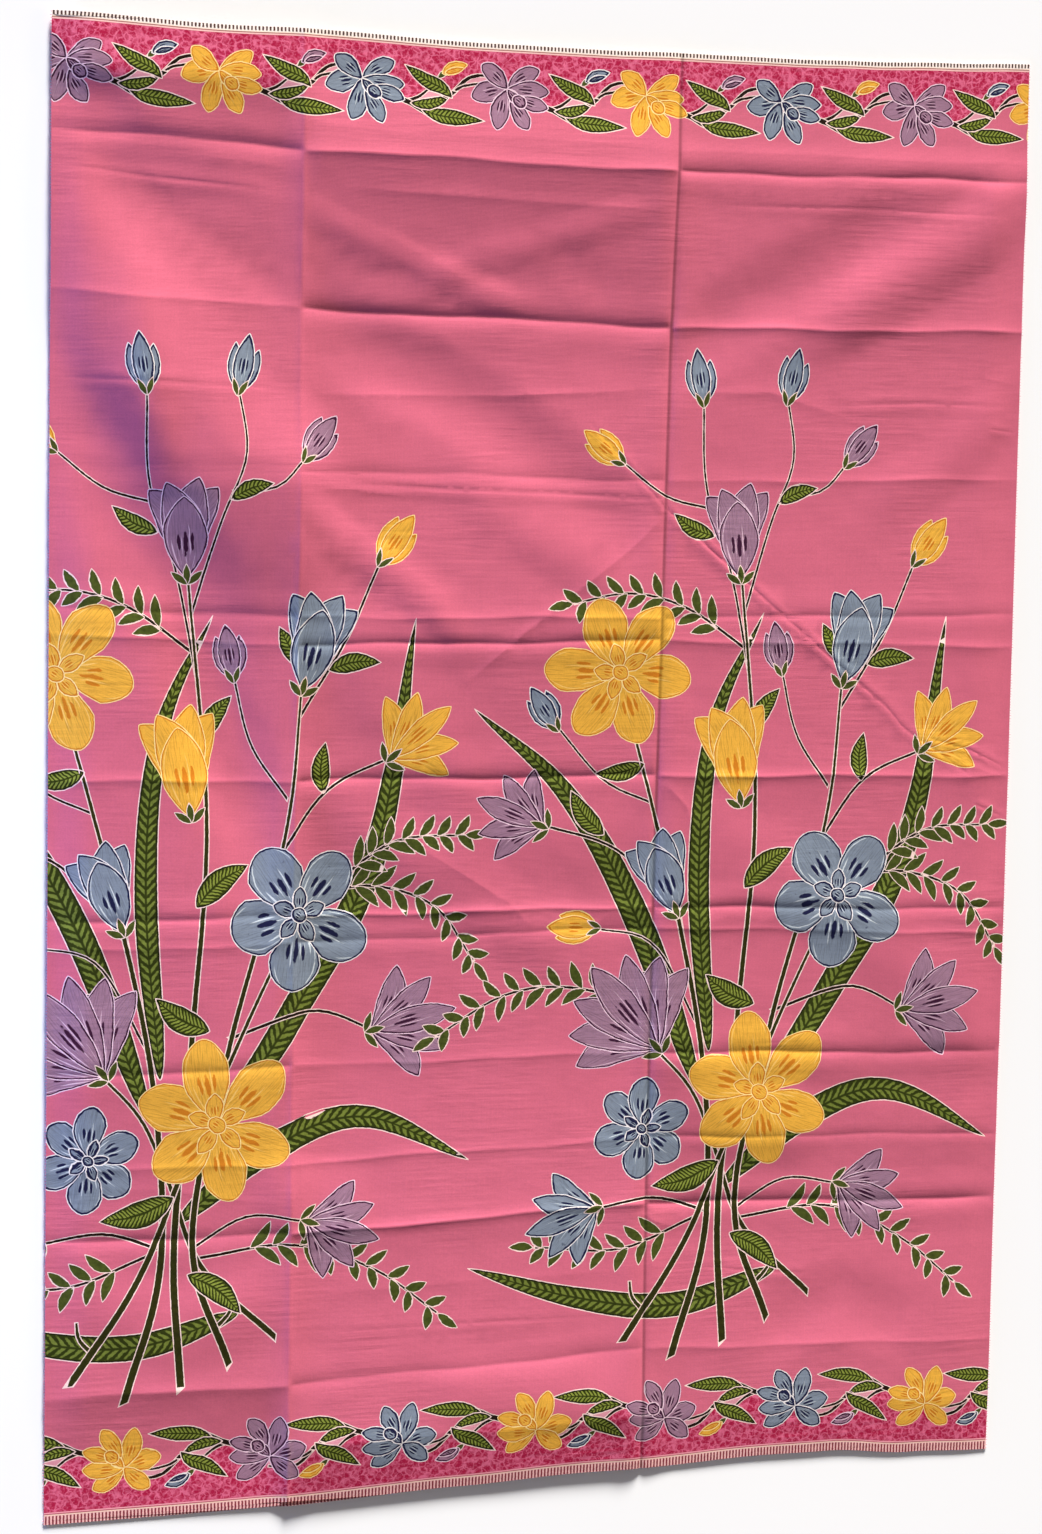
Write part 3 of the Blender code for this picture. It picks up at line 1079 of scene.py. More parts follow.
def turned_half(region):
    """A region or motif of the top border, turned half round about the cut's middle."""
    whole = np.array((WIDTH, LENGTH))
    inner = [(whole - line, closed) for line, closed in region.inner]
    line = None if region.line is None else whole - region.line
    return region._replace(line=line, outline=whole - region.outline, inner=inner)


def comb_regions():
    """The printed comb along each selvedge, which reaches past the cloth and is cut with it."""
    past = 0.01
    across = np.linspace(-past, WIDTH + past, 100)
    regions = []
    for dye, outside, inside in (
        ("comb_top", -past, COMB_TOP_DEPTH),
        ("comb_bottom", LENGTH + past, LENGTH - COMB_BOTTOM_DEPTH),
    ):
        inner_edge = [(x, inside) for x in across]
        outer_edge = [(x, outside) for x in across[::-1]]
        regions.append(plain_region(dye, inner_edge + outer_edge))
    return regions


def print_regions(sizes):
    """The whole print in the order in which it is laid down, the last on top."""
    regions = border_grounds(sizes) + border_motifs(sizes)
    for tie in SPRAY_TIES:
        regions += spray_motifs((tie[0] / 1000, tie[1] / 1000), sizes)
    return regions + comb_regions()


# Mesh of the cloth

Side = namedtuple("Side", "places points triangles normals slots facts")

# How fine one side's mesh is, in metres: offsets of the lines beside a fold, places beside a
# wrinkle as shares of its reach and which of its points count, widest spacing along a fold, then
# spacing down the cloth beside a fold and far from one.
Detail = namedtuple("Detail", "beside_fold beside_wrinkle wrinkle_step columns near far")
# Spacing of points beside a lengthwise crease, and of the first ones from a selvedge.
CREASE_STEP = 0.0015
EDGE_STEP = 0.0035
# Loose points stay this far off the cut ends.
LOOSE_MARGIN = 0.002
# Each step away from a crease or fold is so many times the last one.
COLUMN_GROWTH = 1.4
ROW_GROWTH = 1.35
# The triangulation works in millimetres and joins points that are closer than this.
JOIN_WITHIN = 0.01
# A motif less than this from corner to corner isn't on the underside, unless it meets the
# cloth's edge. One closer to the edge than EDGE_MARGIN counts as meeting it.
UNDERSIDE_LEAST = 0.020
EDGE_MARGIN = 0.001
# The underside takes the least height within this distance, so that it stays below the top.
UNDERSIDE_CLEAR = 0.003


def top_detail(sizes):
    """Mesh of the side that shows."""
    beside_fold = (-0.0028, -0.0012, 0.0, 0.0012, 0.0028)
    beside_wrinkle = (-0.75, -0.36, -0.15, 0.15, 0.36, 0.75)
    return Detail(beside_fold, beside_wrinkle, 1, sizes.column_step, 0.0038, 0.010)


def underside_detail(sizes):
    """Coarser mesh of the side that lies on the floor."""
    return Detail((-0.0028, 0.0, 0.0028), (-0.4, 0.4), 2, 1.5 * sizes.column_step, 0.007, 0.012)


def stations(bounds, near, far, grow):
    """Places between bounds that stand close to each bound and wider apart away from it."""
    places = []
    for start, end in zip(bounds, bounds[1:]):
        steps = []
        gap = near
        total = 0.0
        while total < 0.5 * (end - start):
            steps.append(total)
            total += gap
            gap = min(gap * grow, far)
        places += [start + value for value in steps]
        places += [end - value for value in reversed(steps[1:])]
    return sorted(set(places) | {bounds[-1]})


def drifted(across, down):
    """Places moved along with the second lengthwise crease."""
    return np.stack((across + crease_drift(across, down), down), axis=1)


def shape_lines(detail):
    """Lines that the mesh keeps as edges, and loose points, both where the cloth lies."""
    bounds = (0.0, CREASE_1, CREASE_2, WIDTH)
    columns = np.array(stations(bounds, CREASE_STEP, detail.columns, COLUMN_GROWTH))
    folds = [fold for fold in FOLDS if fold.ridges]
    lines = [
        drifted(columns, fold_line(fold, columns) + offset)
        for fold in folds
        for offset in detail.beside_fold
    ]
    rows = np.arange(0.004, LENGTH - 0.003, 0.010)
    lines += [
        drifted(np.full(len(rows), crease + offset), rows)
        for crease in (CREASE_1, CREASE_2)
        for offset in (-CREASE_STEP, 0.0, CREASE_STEP)
    ]
    loose = []
    for across in columns:
        column = np.array([across])
        top = float(bow_at(column, "top")[0])
        bottom = LENGTH - float(bow_at(column, "bottom")[0])
        here = [top] + [float(fold_line(fold, across)) for fold in folds] + [bottom]
        between = stations(here, detail.near, detail.far, ROW_GROWTH)[1:-1]
        downs = np.array([top + EDGE_STEP] + between + [bottom - EDGE_STEP])
        loose.append(drifted(np.full(len(downs), across), downs))
    for wrinkle in WRINKLES:
        line, _ = smooth_line(np.array(wrinkle.places, float) / 1000, 0.006, False)
        _, normal = directions(line)
        lines.append(line)
        for share in detail.beside_wrinkle:
            loose.append((line + normal * share * wrinkle.reach / 1000)[:: detail.wrinkle_step])
    return lines, np.vstack(loose)


def cloth_outline():
    """The cloth's edge where it lies, with points 4 mm apart on selvedges, 7 mm on cut ends."""
    across = np.linspace(0.0, WIDTH, 196)
    top = np.stack((across, bow_at(across, "top")), axis=1)
    bottom = np.stack((across, LENGTH - bow_at(across, "bottom")), axis=1)[::-1]
    down = np.linspace(0.0, LENGTH, 160)[1:-1]
    right = np.stack((np.full(len(down), WIDTH), down), axis=1)
    left = np.stack((np.zeros(len(down)), down[::-1]), axis=1)
    return np.vstack((top, right, bottom, left))


def to_plane(places):
    """Where the cloth lies, in millimetres with Y up, which is what the triangulation takes."""
    return np.stack((places[:, 0] - WIDTH / 2, LENGTH / 2 - places[:, 1]), axis=1) * 1000


def triangulate(regions, outline, detail):
    """Triangles inside an outline seen from above, each with the topmost region that holds it."""
    points = []
    edges = []
    faces = []

    def add_points(places):
        first = len(points)
        points.extend(Vector(place) for place in places)
        return list(range(first, first + len(places)))

    def add_face(places):
        numbers = add_points(places)
        after = np.roll(places, -1, axis=0)
        area = (places[:, 0] * after[:, 1] - after[:, 0] * places[:, 1]).sum()
        faces.append(numbers if area > 0.0 else numbers[::-1])

    def add_edges(places, closed):
        numbers = add_points(places)
        edges.extend(zip(numbers, numbers[1:]))
        if closed:
            edges.append((numbers[-1], numbers[0]))

    add_face(outline)
    for region in regions:
        add_face(to_plane(printed_to_lying(region.outline)))
    for region in regions:
        for line, closed in region.inner:
            add_edges(to_plane(printed_to_lying(line)), closed)
    lines, loose = shape_lines(detail)
    for line in lines:
        add_edges(to_plane(line), False)
    off_end = np.minimum(loose[:, 0], WIDTH - loose[:, 0])
    off_selvedge = np.minimum(loose[:, 1], LENGTH - loose[:, 1])
    add_points(to_plane(loose[(off_end > LOOSE_MARGIN) & (off_selvedge > 0.0)]))
    # Output 1 is the triangles inside the faces.
    made, _, made_triangles, _, _, made_holders = delaunay_2d_cdt(
        points, edges, faces, 1, JOIN_WITHIN, True
    )
    places = np.array([tuple(point) for point in made])
    triangles = []
    owners = []
    for triangle, holders in zip(made_triangles, made_holders):
        if 0 in holders:
            triangles.append(triangle)
            owners.append(max(holders) - 1)
    triangles = np.array(triangles)
    used, again = np.unique(triangles, return_inverse=True)
    return places[used], again.reshape(triangles.shape), np.array(owners)


def corner_facts(regions, triangles, owners, printed):
    """For each corner of each triangle: length along and distance across its motif, both as
    metres and as shares, and the distance to the motif's own outline."""
    plan = np.zeros((len(triangles), 3, 2))
    share = np.zeros((len(triangles), 3, 2))
    edge = np.ones((len(triangles), 3))
    for number in np.unique(owners):
        if number < 0 or regions[number].line is None:
            continue
        region = regions[number]
        rows = np.flatnonzero(owners == number)
        corners, again = np.unique(triangles[rows], return_inverse=True)
        again = again.reshape(-1, 3)
        places = printed[corners]
        distance, side, along = nearest_on_line(places, region.line)
        so_far = lengths_so_far(region.line)
        half = np.maximum(np.interp(along, so_far, region.half), 0.0002)
        closed = np.vstack((region.outline, region.outline[:1]))
        to_edge, _, _ = nearest_on_line(places, closed)
        plan[rows, :, 0] = along[again]
        plan[rows, :, 1] = (side * distance)[again]
        share[rows, :, 0] = (along / so_far[-1])[again]
        share[rows, :, 1] = np.clip(side * distance / half, -1.0, 1.0)[again]
        edge[rows] = np.minimum(to_edge, region.depth)[again]
    return plan, share, edge


def boundary_edges(triangles):
    """Directed edges of the triangles that no other triangle shares, with triangle and corner."""
    starts = triangles.ravel()
    ends = np.roll(triangles, -1, axis=1).ravel()
    size = int(triangles.max()) + 1
    keys = starts * size + ends
    other = ends * size + starts
    return np.flatnonzero(~np.isin(keys, other)), starts, ends


def edge_loop(triangles):
    """The points of the triangles' outer edge, in order."""
    rim, starts, ends = boundary_edges(triangles)
    after = dict(zip(starts[rim].tolist(), ends[rim].tolist()))
    loop = [int(starts[rim[0]])]
    while len(loop) < len(after):
        loop.append(after[loop[-1]])
    return np.array(loop)


def underside_motifs(regions):
    """The larger motifs with a third or a quarter of their points and no inner lines. One that
    meets the cloth's edge keeps its points, so that both sides share the points of that edge."""
    kept = []
    for region in regions:
        low = region.outline.min(axis=0)
        high = region.outline.max(axis=0)
        off_edge = min(low.min(), WIDTH - high[0], LENGTH - high[1])
        if off_edge < EDGE_MARGIN:
            kept.append(region._replace(inner=[]))
        elif math.dist(low, high) > UNDERSIDE_LEAST:
            step = 3 if len(region.outline) < 24 else 4
            kept.append(region._replace(outline=region.outline[::step], inner=[]))
    return kept


def lowest_relief(across, down):
    """The least height of the cloth at places and at four places beside each."""
    far = UNDERSIDE_CLEAR
    heights = []
    for x, y in ((0.0, 0.0), (-far, 0.0), (far, 0.0), (0.0, -far), (0.0, far)):
        near_across = np.clip(across + x, 0.0, WIDTH)
        near_down = np.clip(down + y, 0.0, LENGTH)
        heights.append(relief(near_across, near_down))
    return np.min(heights, axis=0)


def cloth_side(regions, outline, detail, height_at):
    """One side of the cloth, with the facts of the print on each corner of its triangles."""
    places, triangles, owners = triangulate(regions, outline, detail)
    across = places[:, 0] / 1000 + WIDTH / 2
    down = LENGTH / 2 - places[:, 1] / 1000
    printed = lying_to_printed(np.stack((across, down), axis=1))
    plan, share, edge = corner_facts(regions, triangles, owners, printed)
    slots = np.array([0 if owner < 0 else DYES.index(regions[owner].dye) for owner in owners])
    facts = {
        "cloth_plan": printed[triangles],
        "motif_plan": plan,
        "motif_share": share,
        "motif_edge": edge,
    }
    points = np.column_stack((places / 1000, height_at(across, down)))
    return Side(places, points, triangles, relief_normals(across, down), slots, facts)


def edge_partners(top, low, loop):
    """For each point of the top, the point of the underside below it if it lies on the edge."""
    low_loop = edge_loop(low.triangles)
    away = top.places[loop][:, None, :] - low.places[low_loop][None, :, :]
    gaps = np.hypot(away[:, :, 0], away[:, :, 1])
    if len(loop) != len(low_loop) or gaps.min(axis=1).max() > 2 * JOIN_WITHIN:
        raise RuntimeError("The two sides of the cloth do not share the points of its edge.")
    partners = np.full(len(top.places), -1)
    partners[loop] = low_loop[gaps.argmin(axis=1)]
    return partners


def cloth_mesh(sizes):
    """The closed shell of the cloth with its print facts on every corner."""
    regions = print_regions(sizes)
    top = cloth_side(regions, to_plane(cloth_outline()), top_detail(sizes), relief)
    loop = edge_loop(top.triangles)
    low = cloth_side(
        underside_motifs(regions), top.places[loop], underside_detail(sizes), lowest_relief
    )
    partners = edge_partners(top, low, loop)
    low.points[partners[loop], 2] = top.points[loop, 2]
    count = len(top.points)
    over = top.points + np.array((0.0, 0.0, sizes.shell))

    rim, starts, ends = boundary_edges(top.triangles)
    start = starts[rim]
    end = ends[rim]
    rim_faces = np.stack((partners[start] + count, partners[end] + count, end, start), axis=1)
    faces = top.triangles.tolist() + (low.triangles[:, ::-1] + count).tolist()
    faces += rim_faces.tolist()
    mesh = bpy.data.meshes.new("batik_panel")
    mesh.from_pydata(np.vstack((over, low.points)).tolist(), [], faces)

    rim_rows = rim // 3
    slots = np.concatenate((top.slots, low.slots, top.slots[rim_rows]))
    mesh.polygons.foreach_set("material_index", slots.astype(np.int32))

    def on_corners(name):
        """Values of the top's corners, then of the underside's and the rim's."""
        values = top.facts[name]
        first = values.reshape((-1,) + values.shape[2:])
        below = low.facts[name][:, ::-1].reshape((-1,) + values.shape[2:])
        start_values = first[rim]
        end_values = first[rim_rows * 3 + (rim % 3 + 1) % 3]
        around = np.stack((start_values, end_values, end_values, start_values), axis=1)
        return np.concatenate((first, below, around.reshape((-1,) + values.shape[2:])))

    for name in ("cloth_plan", "motif_plan", "motif_share"):
        layer = mesh.uv_layers.new(name=name)
        layer.uv.foreach_set("vector", on_corners(name).astype(np.float32).ravel())
    layer = mesh.attributes.new("motif_edge", "FLOAT", "CORNER")
    layer.data.foreach_set("value", on_corners("motif_edge").astype(np.float32).ravel())

    mesh.update()
    rim_normals = np.zeros((len(rim), 4, 3))
    run = top.places[end] - top.places[start]
    run /= np.hypot(run[:, 0], run[:, 1])[:, None]
    rim_normals[:, :, 0] = run[:, 1][:, None]
    rim_normals[:, :, 1] = -run[:, 0][:, None]
    corner_normals = np.concatenate(
        (
            top.normals[top.triangles].reshape(-1, 3),
            -low.normals[low.triangles[:, ::-1]].reshape(-1, 3),
            rim_normals.reshape(-1, 3),
        )
    )
    mesh.shade_smooth()
    mesh.normals_split_custom_set(corner_normals.tolist())
    return mesh


# Materials

# Spacing of a wave texture's bands at a scale of 1.
WAVE_SPACING = 0.31416


def fill_inputs(tree, node, inputs):
    """Link each input of a node to an output, or give it a value."""
    for socket, value in inputs.items():
        if isinstance(value, bpy.types.NodeSocket):
            tree.links.new(value, node.inputs[socket])
        else:
            node.inputs[socket].default_value = value


def add(tree, kind, settings=None, inputs=None, output=0):
    """Add a node, set its settings, link or fill its inputs, and give one output."""
    node = tree.nodes.new(kind)
    for name, value in (settings or {}).items():
        setattr(node, name, value)
    fill_inputs(tree, node, inputs or {})
    return node.outputs[output]


def below(tree, value, level, soft):
    """1 where a value lies under a level, 0 over it, with a soft change."""
    return add(tree, "ShaderNodeMapRange", {"clamp": True},
               {"Value": value, "From Min": level - soft, "From Max": level + soft,
                "To Min": 1.0, "To Max": 0.0})


def painted(tree, under, over, mask):
    """One colour laid over another where the mask is 1."""
    return add(tree, "ShaderNodeMix", {"data_type": "RGBA"}, {0: mask, 6: under, 7: over},
               output=2)


def grain(tree, vector, scale, detail=2.0):
    """Cloudy value between 0 and 1 at so many cells in a metre."""
    return add(tree, "ShaderNodeTexNoise", {"noise_dimensions": "3D"},
               {"Vector": vector, "Scale": scale, "Detail": detail})


def stretched(tree, vector, scale):
    """A vector scaled by a different number on each axis."""
    return add(tree, "ShaderNodeMapping", None, {"Vector": vector, "Scale": scale})


def calculated(tree, operation, first, second=0.0):
    """Result of a sum on one or two values."""
    return add(tree, "ShaderNodeMath", {"operation": operation}, {0: first, 1: second})


def times(tree, first, second):
    """Product of two values."""
    return calculated(tree, "MULTIPLY", first, second)


def minus(tree, first, second):
    """First value less the second one."""
    return calculated(tree, "SUBTRACT", first, second)


def plus(tree, value, other, share):
    """A value with a share of another one added."""
    return calculated(tree, "ADD", value, times(tree, other, share))


def two_axes(tree, vector):
    """First and second component of a vector."""
    first = add(tree, "ShaderNodeSeparateXYZ", None, {0: vector})
    return first, first.node.outputs[1]


def combined(tree, x, y, z):
    """A vector of three values."""
    return add(tree, "ShaderNodeCombineXYZ", None, {0: x, 1: y, 2: z})


def shaking(tree, vector, scale, detail=2.0):
    """Cloudy value round zero."""
    return minus(tree, grain(tree, vector, scale, detail), 0.5)


def printed_map(tree, name):
    """One of the cloth's maps: cloth_plan is metres on the flat cut, motif_plan metres along
    and across a motif, and motif_share the same as shares."""
    return add(tree, "ShaderNodeUVMap", {"uv_map": name})


def thread_bands(tree, place, direction):
    """Slightly wavy bands across one axis, at the drawn spacing of the threads."""
    return add(tree, "ShaderNodeTexWave", {"bands_direction": direction},
               {"Vector": place, "Scale": WAVE_SPACING / 0.0009, "Distortion": 0.6,
                "Detail": 1.0})


def bumped(tree, height, strength, distance, normal=None):
    """Small relief of a height, on top of another normal if one is given."""
    inputs = {"Strength": strength, "Distance": distance, "Height": height}
    if normal is not None:
        inputs["Normal"] = normal
    return add(tree, "ShaderNodeBump", None, inputs)


def give_shader(tree, inputs):
    """Link or fill inputs of the material's shader."""
    fill_inputs(tree, tree.nodes["Principled BSDF"], inputs)


def crease_shade(tree, place):
    """Mask of painted shade: 1 in a line 2 mm wide along the second lengthwise crease, which is
    pressed so sharply that no light gets in, and 0 beside it."""
    across, up = two_axes(tree, place)
    from_most = calculated(tree, "ADD", up, BEND_DOWN - 0.5 * LENGTH)
    squared = times(tree, from_most, from_most)
    bend = times(tree, squared, BEND_BACK)
    offset = minus(tree, across, CREASE_2 - 0.5 * WIDTH + BEND_MOST)
    offset = calculated(tree, "ABSOLUTE", minus(tree, offset, bend))
    return below(tree, offset, 0.0012, 0.0008)


def cotton_finish(tree, colour):
    """Plain-woven cotton, calendered: threads lie flat, so it is matt with a faint sheen. The
    dye varies a little from thread to thread and in soft clouds. A thin line of painted shade lies
    along the second lengthwise crease."""
    place = add(tree, "ShaderNodeTexCoord", output="Object")
    # Thread spacing is 0.35 mm in such cotton. It is drawn at 0.9 mm, so that it shows.
    warp = thread_bands(tree, place, "X")
    weft = thread_bands(tree, place, "Y")
    threads = times(tree, warp, weft)
    # Slubs, thicker stretches of thread, are about 30 mm long and 1.2 mm apart.
    slubs_along = grain(tree, stretched(tree, place, (33.0, 830.0, 1.0)), 1.0)
    slubs_up = grain(tree, stretched(tree, place, (830.0, 33.0, 1.0)), 1.0)
    slubs = calculated(tree, "ADD", slubs_along, slubs_up)
    clouds = grain(tree, place, 22.0, 3.0)
    # Single threads take the dye unevenly. Drawn as specks of 1.2 mm, so that they show.
    specks = grain(tree, place, 830.0, 1.0)
    tone = times(tree, slubs, 0.09)
    tone = plus(tree, tone, clouds, 0.10)
    tone = plus(tree, tone, specks, 0.20)
    tone = calculated(tree, "ADD", tone, 0.76)
    # Painted shade: the tone is darkened by up to 0.45 in a line along the second lengthwise
    # crease.
    shade = times(tree, crease_shade(tree, place), 0.45)
    tone = times(tree, tone, minus(tree, 1.0, shade))
    grey = add(tree, "ShaderNodeCombineColor", None, {0: tone, 1: tone, 2: tone})
    toned = add(tree, "ShaderNodeMix", {"data_type": "RGBA", "blend_type": "MULTIPLY"},
                {0: 1.0, 6: colour, 7: grey}, output=2)
    weave = bumped(tree, plus(tree, threads, slubs, 0.6), 0.22, 0.00018)
    # Soft rumples 15 to 40 mm across, under the weave.
    rumple = bumped(tree, grain(tree, place, 38.0, 1.0), 0.30, 0.0012, weave)
    # Fine crinkles left by pressing run along the folds, 4 mm apart and about 50 mm long, in
    # patches.
    crinkles = grain(tree, stretched(tree, place, (20.0, 230.0, 1.0)), 1.0)
    patches = below(tree, grain(tree, place, 9.0, 1.0), 0.47, 0.10)
    crinkles = times(tree, crinkles, patches)
    give_shader(tree, {
        "Base Color": toned,
        "Normal": bumped(tree, crinkles, 0.20, 0.0011, rumple),
        "Roughness": 0.75,
        "IOR": 1.5,
        "Specular IOR Level": 0.05,
        "Sheen Weight": 0.03,
        "Sheen Roughness": 0.45,
    })


def new_material(name):
    """A material with nodes, and its tree."""
    material = bpy.data.materials.new(name)
    material.use_nodes = True
    return material, material.node_tree


def uneven_edge(tree):
    """Distance to a motif's outline, made uneven as by a hand-held wax pen."""
    edge = add(tree, "ShaderNodeAttribute", {"attribute_name": "motif_edge"}, output="Fac")
    plan = printed_map(tree, "cloth_plan")
    # The pen's line swells and thins over 3 to 8 mm.
    return plus(tree, edge, shaking(tree, plan, 260.0, 1.0), 0.0008)


def lined(tree, fill, line, halo, halo_width, line_width):
    """A fill with a dark drawn line inside a pale wax line, both along its own outline."""
    edge = uneven_edge(tree)
    with_line = painted(tree, fill, line, below(tree, edge, halo_width + line_width, 0.00010))
    return painted(tree, with_line, halo, below(tree, edge, halo_width, 0.00012))


def petal_cotton(name, fill, stroke, line, halo, line_width):
    """A petal: dyed fill with fine darker hatching, a few pale pen strokes from its foot, dark
    dashes near its middle, a dark outline and a wax line."""
    material, tree = new_material(name)
    share = printed_map(tree, "motif_share")
    size = printed_map(tree, "motif_plan")
    plan = printed_map(tree, "cloth_plan")
    along, across = two_axes(tree, share)
    aside = calculated(tree, "ABSOLUTE", across)
    shake = shaking(tree, plan, 170.0)
    # The hatching is 1 mm apart and follows the petal.
    hatching = grain(tree, stretched(tree, size, (70.0, 1000.0, 1.0)), 1.0, 1.0)
    deeper = shaded(fill, 0.76)
    colour = painted(tree, fill, deeper, below(tree, hatching, 0.44, 0.10))
    # Strokes run along the petal, seven or eight side by side, from its foot to past its middle.
    lanes = combined(
        tree, times(tree, along, 1.7), times(tree, across, 8.0), times(tree, shake, 0.5)
    )
    outer = times(tree, minus(tree, along, 0.35), 0.24)
    outer = calculated(tree, "MAXIMUM", outer, 0.0)
    strokes = calculated(tree, "ADD", grain(tree, lanes, 1.0, 0.0), outer)
    colour = painted(tree, colour, stroke, below(tree, strokes, 0.355, 0.035))

    def dash(middle, length, offset, width):
        off_along = calculated(tree, "DIVIDE", minus(tree, along, middle), length)
        off_across = calculated(tree, "DIVIDE", minus(tree, aside, offset), width)
        square = times(tree, off_along, off_along)
        other = times(tree, off_across, off_across)
        return calculated(tree, "ADD", square, other)

    dashes = calculated(tree, "MINIMUM", dash(0.42, 0.16, 0.0, 0.12), dash(0.45, 0.11, 0.33, 0.085))
    dashes = plus(tree, dashes, shake, 2.2)
    colour = painted(tree, colour, line, below(tree, dashes, 0.9, 0.18))
    # The drawn outline swells here and there to nearly three times its width.
    swell = below(tree, grain(tree, stretched(tree, size, (60.0, 60.0, 1.0)), 1.0), 0.44, 0.08)
    edge = minus(tree, uneven_edge(tree), times(tree, swell, 0.5 * line_width))
    colour = painted(tree, colour, line, below(tree, edge, 0.00065 + line_width, 0.00010))
    colour = painted(tree, colour, halo, below(tree, uneven_edge(tree), 0.00070, 0.00012))
    cotton_finish(tree, colour)
    return material


def leaf_cotton(name, dark, light, line, halo, pitch, lean):
    """A leaf: light slanting strokes on both sides of a dark midrib, on dark green. Each stroke
    is broad at the rib and thins toward the edge. Outline and wax line."""
    material, tree = new_material(name)
    size = printed_map(tree, "motif_plan")
    share = printed_map(tree, "motif_share")
    plan = printed_map(tree, "cloth_plan")
    along, across = two_axes(tree, size)
    _, share_across = two_axes(tree, share)
    shake = shaking(tree, plan, 300.0)
    aside = calculated(tree, "ABSOLUTE", across)
    slant = minus(tree, along, times(tree, aside, lean))
    turns = calculated(tree, "DIVIDE", slant, pitch)
    turns = plus(tree, turns, shake, 0.55)
    saw = calculated(tree, "FRACT", turns)
    ridge = calculated(tree, "ABSOLUTE", minus(tree, saw, 0.5))
    off = calculated(tree, "ABSOLUTE", share_across)
    ridge = plus(tree, ridge, off, 0.22)
    stripes = below(tree, ridge, 0.33, 0.06)
    inside = below(tree, plus(tree, off, shake, 0.5), 0.72, 0.08)
    beside_rib = minus(tree, 1.0, below(tree, off, 0.09, 0.04))
    mask = times(tree, stripes, times(tree, inside, beside_rib))
    # The light green took the dye unevenly.
    patchy = calculated(tree, "ADD", grain(tree, plan, 420.0, 2.0), 0.42)
    mask = times(tree, mask, patchy)
    colour = painted(tree, dark, light, mask)
    colour = lined(tree, colour, line, halo, 0.00075, 0.0011)
    cotton_finish(tree, colour)
    return material


def plain_motif_cotton(name, fill, halo, halo_width):
    """A plain dyed motif inside a wax line."""
    material, tree = new_material(name)
    plan = printed_map(tree, "cloth_plan")
    clouds = below(tree, grain(tree, plan, 260.0, 2.0), 0.5, 0.2)
    colour = painted(tree, fill, shaded(fill, 0.6), clouds)
    colour = painted(tree, colour, halo, below(tree, uneven_edge(tree), halo_width, 0.00012))
    cotton_finish(tree, colour)
    return material


def plain_cotton(name, fill):
    """One dye, which took a little unevenly in soft clouds."""
    material, tree = new_material(name)
    plan = printed_map(tree, "cloth_plan")
    colour = painted(tree, fill, shaded(fill, 0.90), grain(tree, plan, 9.0, 3.0))
    cotton_finish(tree, colour)
    return material


def crackle_cotton(name, fill, vein):
    """Ground where the wax was crumpled before the dye bath, so that pale veins run between
    blots 4 to 6 mm across."""
    material, tree = new_material(name)
    plan = printed_map(tree, "cloth_plan")
    push = add(tree, "ShaderNodeTexNoise", None, {"Vector": plan, "Scale": 240.0, "Detail": 3.0},
               output="Color")
    shaken = add(tree, "ShaderNodeVectorMath", {"operation": "MULTIPLY_ADD"},
                 {0: push, 1: (0.006, 0.006, 0.0), 2: plan})
    cells = add(tree, "ShaderNodeTexVoronoi", {"feature": "DISTANCE_TO_EDGE"},
                {"Vector": shaken, "Scale": 190.0}, output="Distance")
    fine = grain(tree, plan, 640.0, 3.0)
    blots = grain(tree, plan, 170.0, 2.0)
    veins = below(tree, plus(tree, cells, fine, 0.12), 0.15, 0.06)
    veins = times(tree, veins, below(tree, blots, 0.62, 0.16))
    lighter = tuple(min(1.0, 0.65 * a + 0.35 * b) for a, b in zip(fill, vein))
    colour = painted(tree, fill, lighter, below(tree, blots, 0.44, 0.08))
    speckle = below(tree, fine, 0.42, 0.05)
    colour = painted(tree, colour, vein, times(tree, speckle, 0.40))
    colour = painted(tree, colour, vein, times(tree, veins, 0.9))
    cotton_finish(tree, colour)
    return material


def comb_cotton(name, from_bottom, base, tooth, tooth_length, pitch, bands):
    """A selvedge: fine printed teeth across the edge, then narrow lines along it. A band is the
    distance from the selvedge where it ends, and its colour. Real teeth are 1.7 mm apart. They
    are drawn wider apart, so that they show."""
    material, tree = new_material(name)
    plan = printed_map(tree, "cloth_plan")
    across, down = two_axes(tree, plan)
    depth = minus(tree, LENGTH, down) if from_bottom else down
    turns = calculated(tree, "DIVIDE", across, pitch)
    turns = plus(tree, turns, shaking(tree, plan, 500.0, 1.0), 0.25)
    saw = minus(tree, calculated(tree, "FRACT", turns), 0.5)
    saw = calculated(tree, "ABSOLUTE", saw)
    teeth = times(tree, below(tree, saw, 0.25, 0.08), below(tree, depth, tooth_length, 0.0003))
    colour = bands[-1][1]
    for limit, band in reversed(bands[:-1]):
        colour = painted(tree, colour, band, below(tree, depth, limit, 0.00015))
    colour = painted(tree, colour, base, below(tree, depth, tooth_length + 0.0004, 0.0002))
    colour = painted(tree, colour, tooth, teeth)
    cotton_finish(tree, colour)
    return material


def loose_thread(name, colour):
    """Spun cotton thread: matt and soft, lighter where its fibres stand off."""
    material, tree = new_material(name)
    place = add(tree, "ShaderNodeTexCoord", output="Object")
    mixed = painted(tree, colour, shaded(colour, 1.25), grain(tree, place, 400.0, 1.0))
    # The ply's twist turns once in about 0.8 mm.
    twist = add(tree, "ShaderNodeTexWave", {"bands_direction": "DIAGONAL"},
                {"Vector": place, "Scale": WAVE_SPACING / 0.0008})
    give_shader(tree, {
        "Base Color": mixed,
        "Normal": bumped(tree, twist, 0.3, 0.0001),
        "Roughness": 0.8,
        "Sheen Weight": 0.2,
    })
    return material


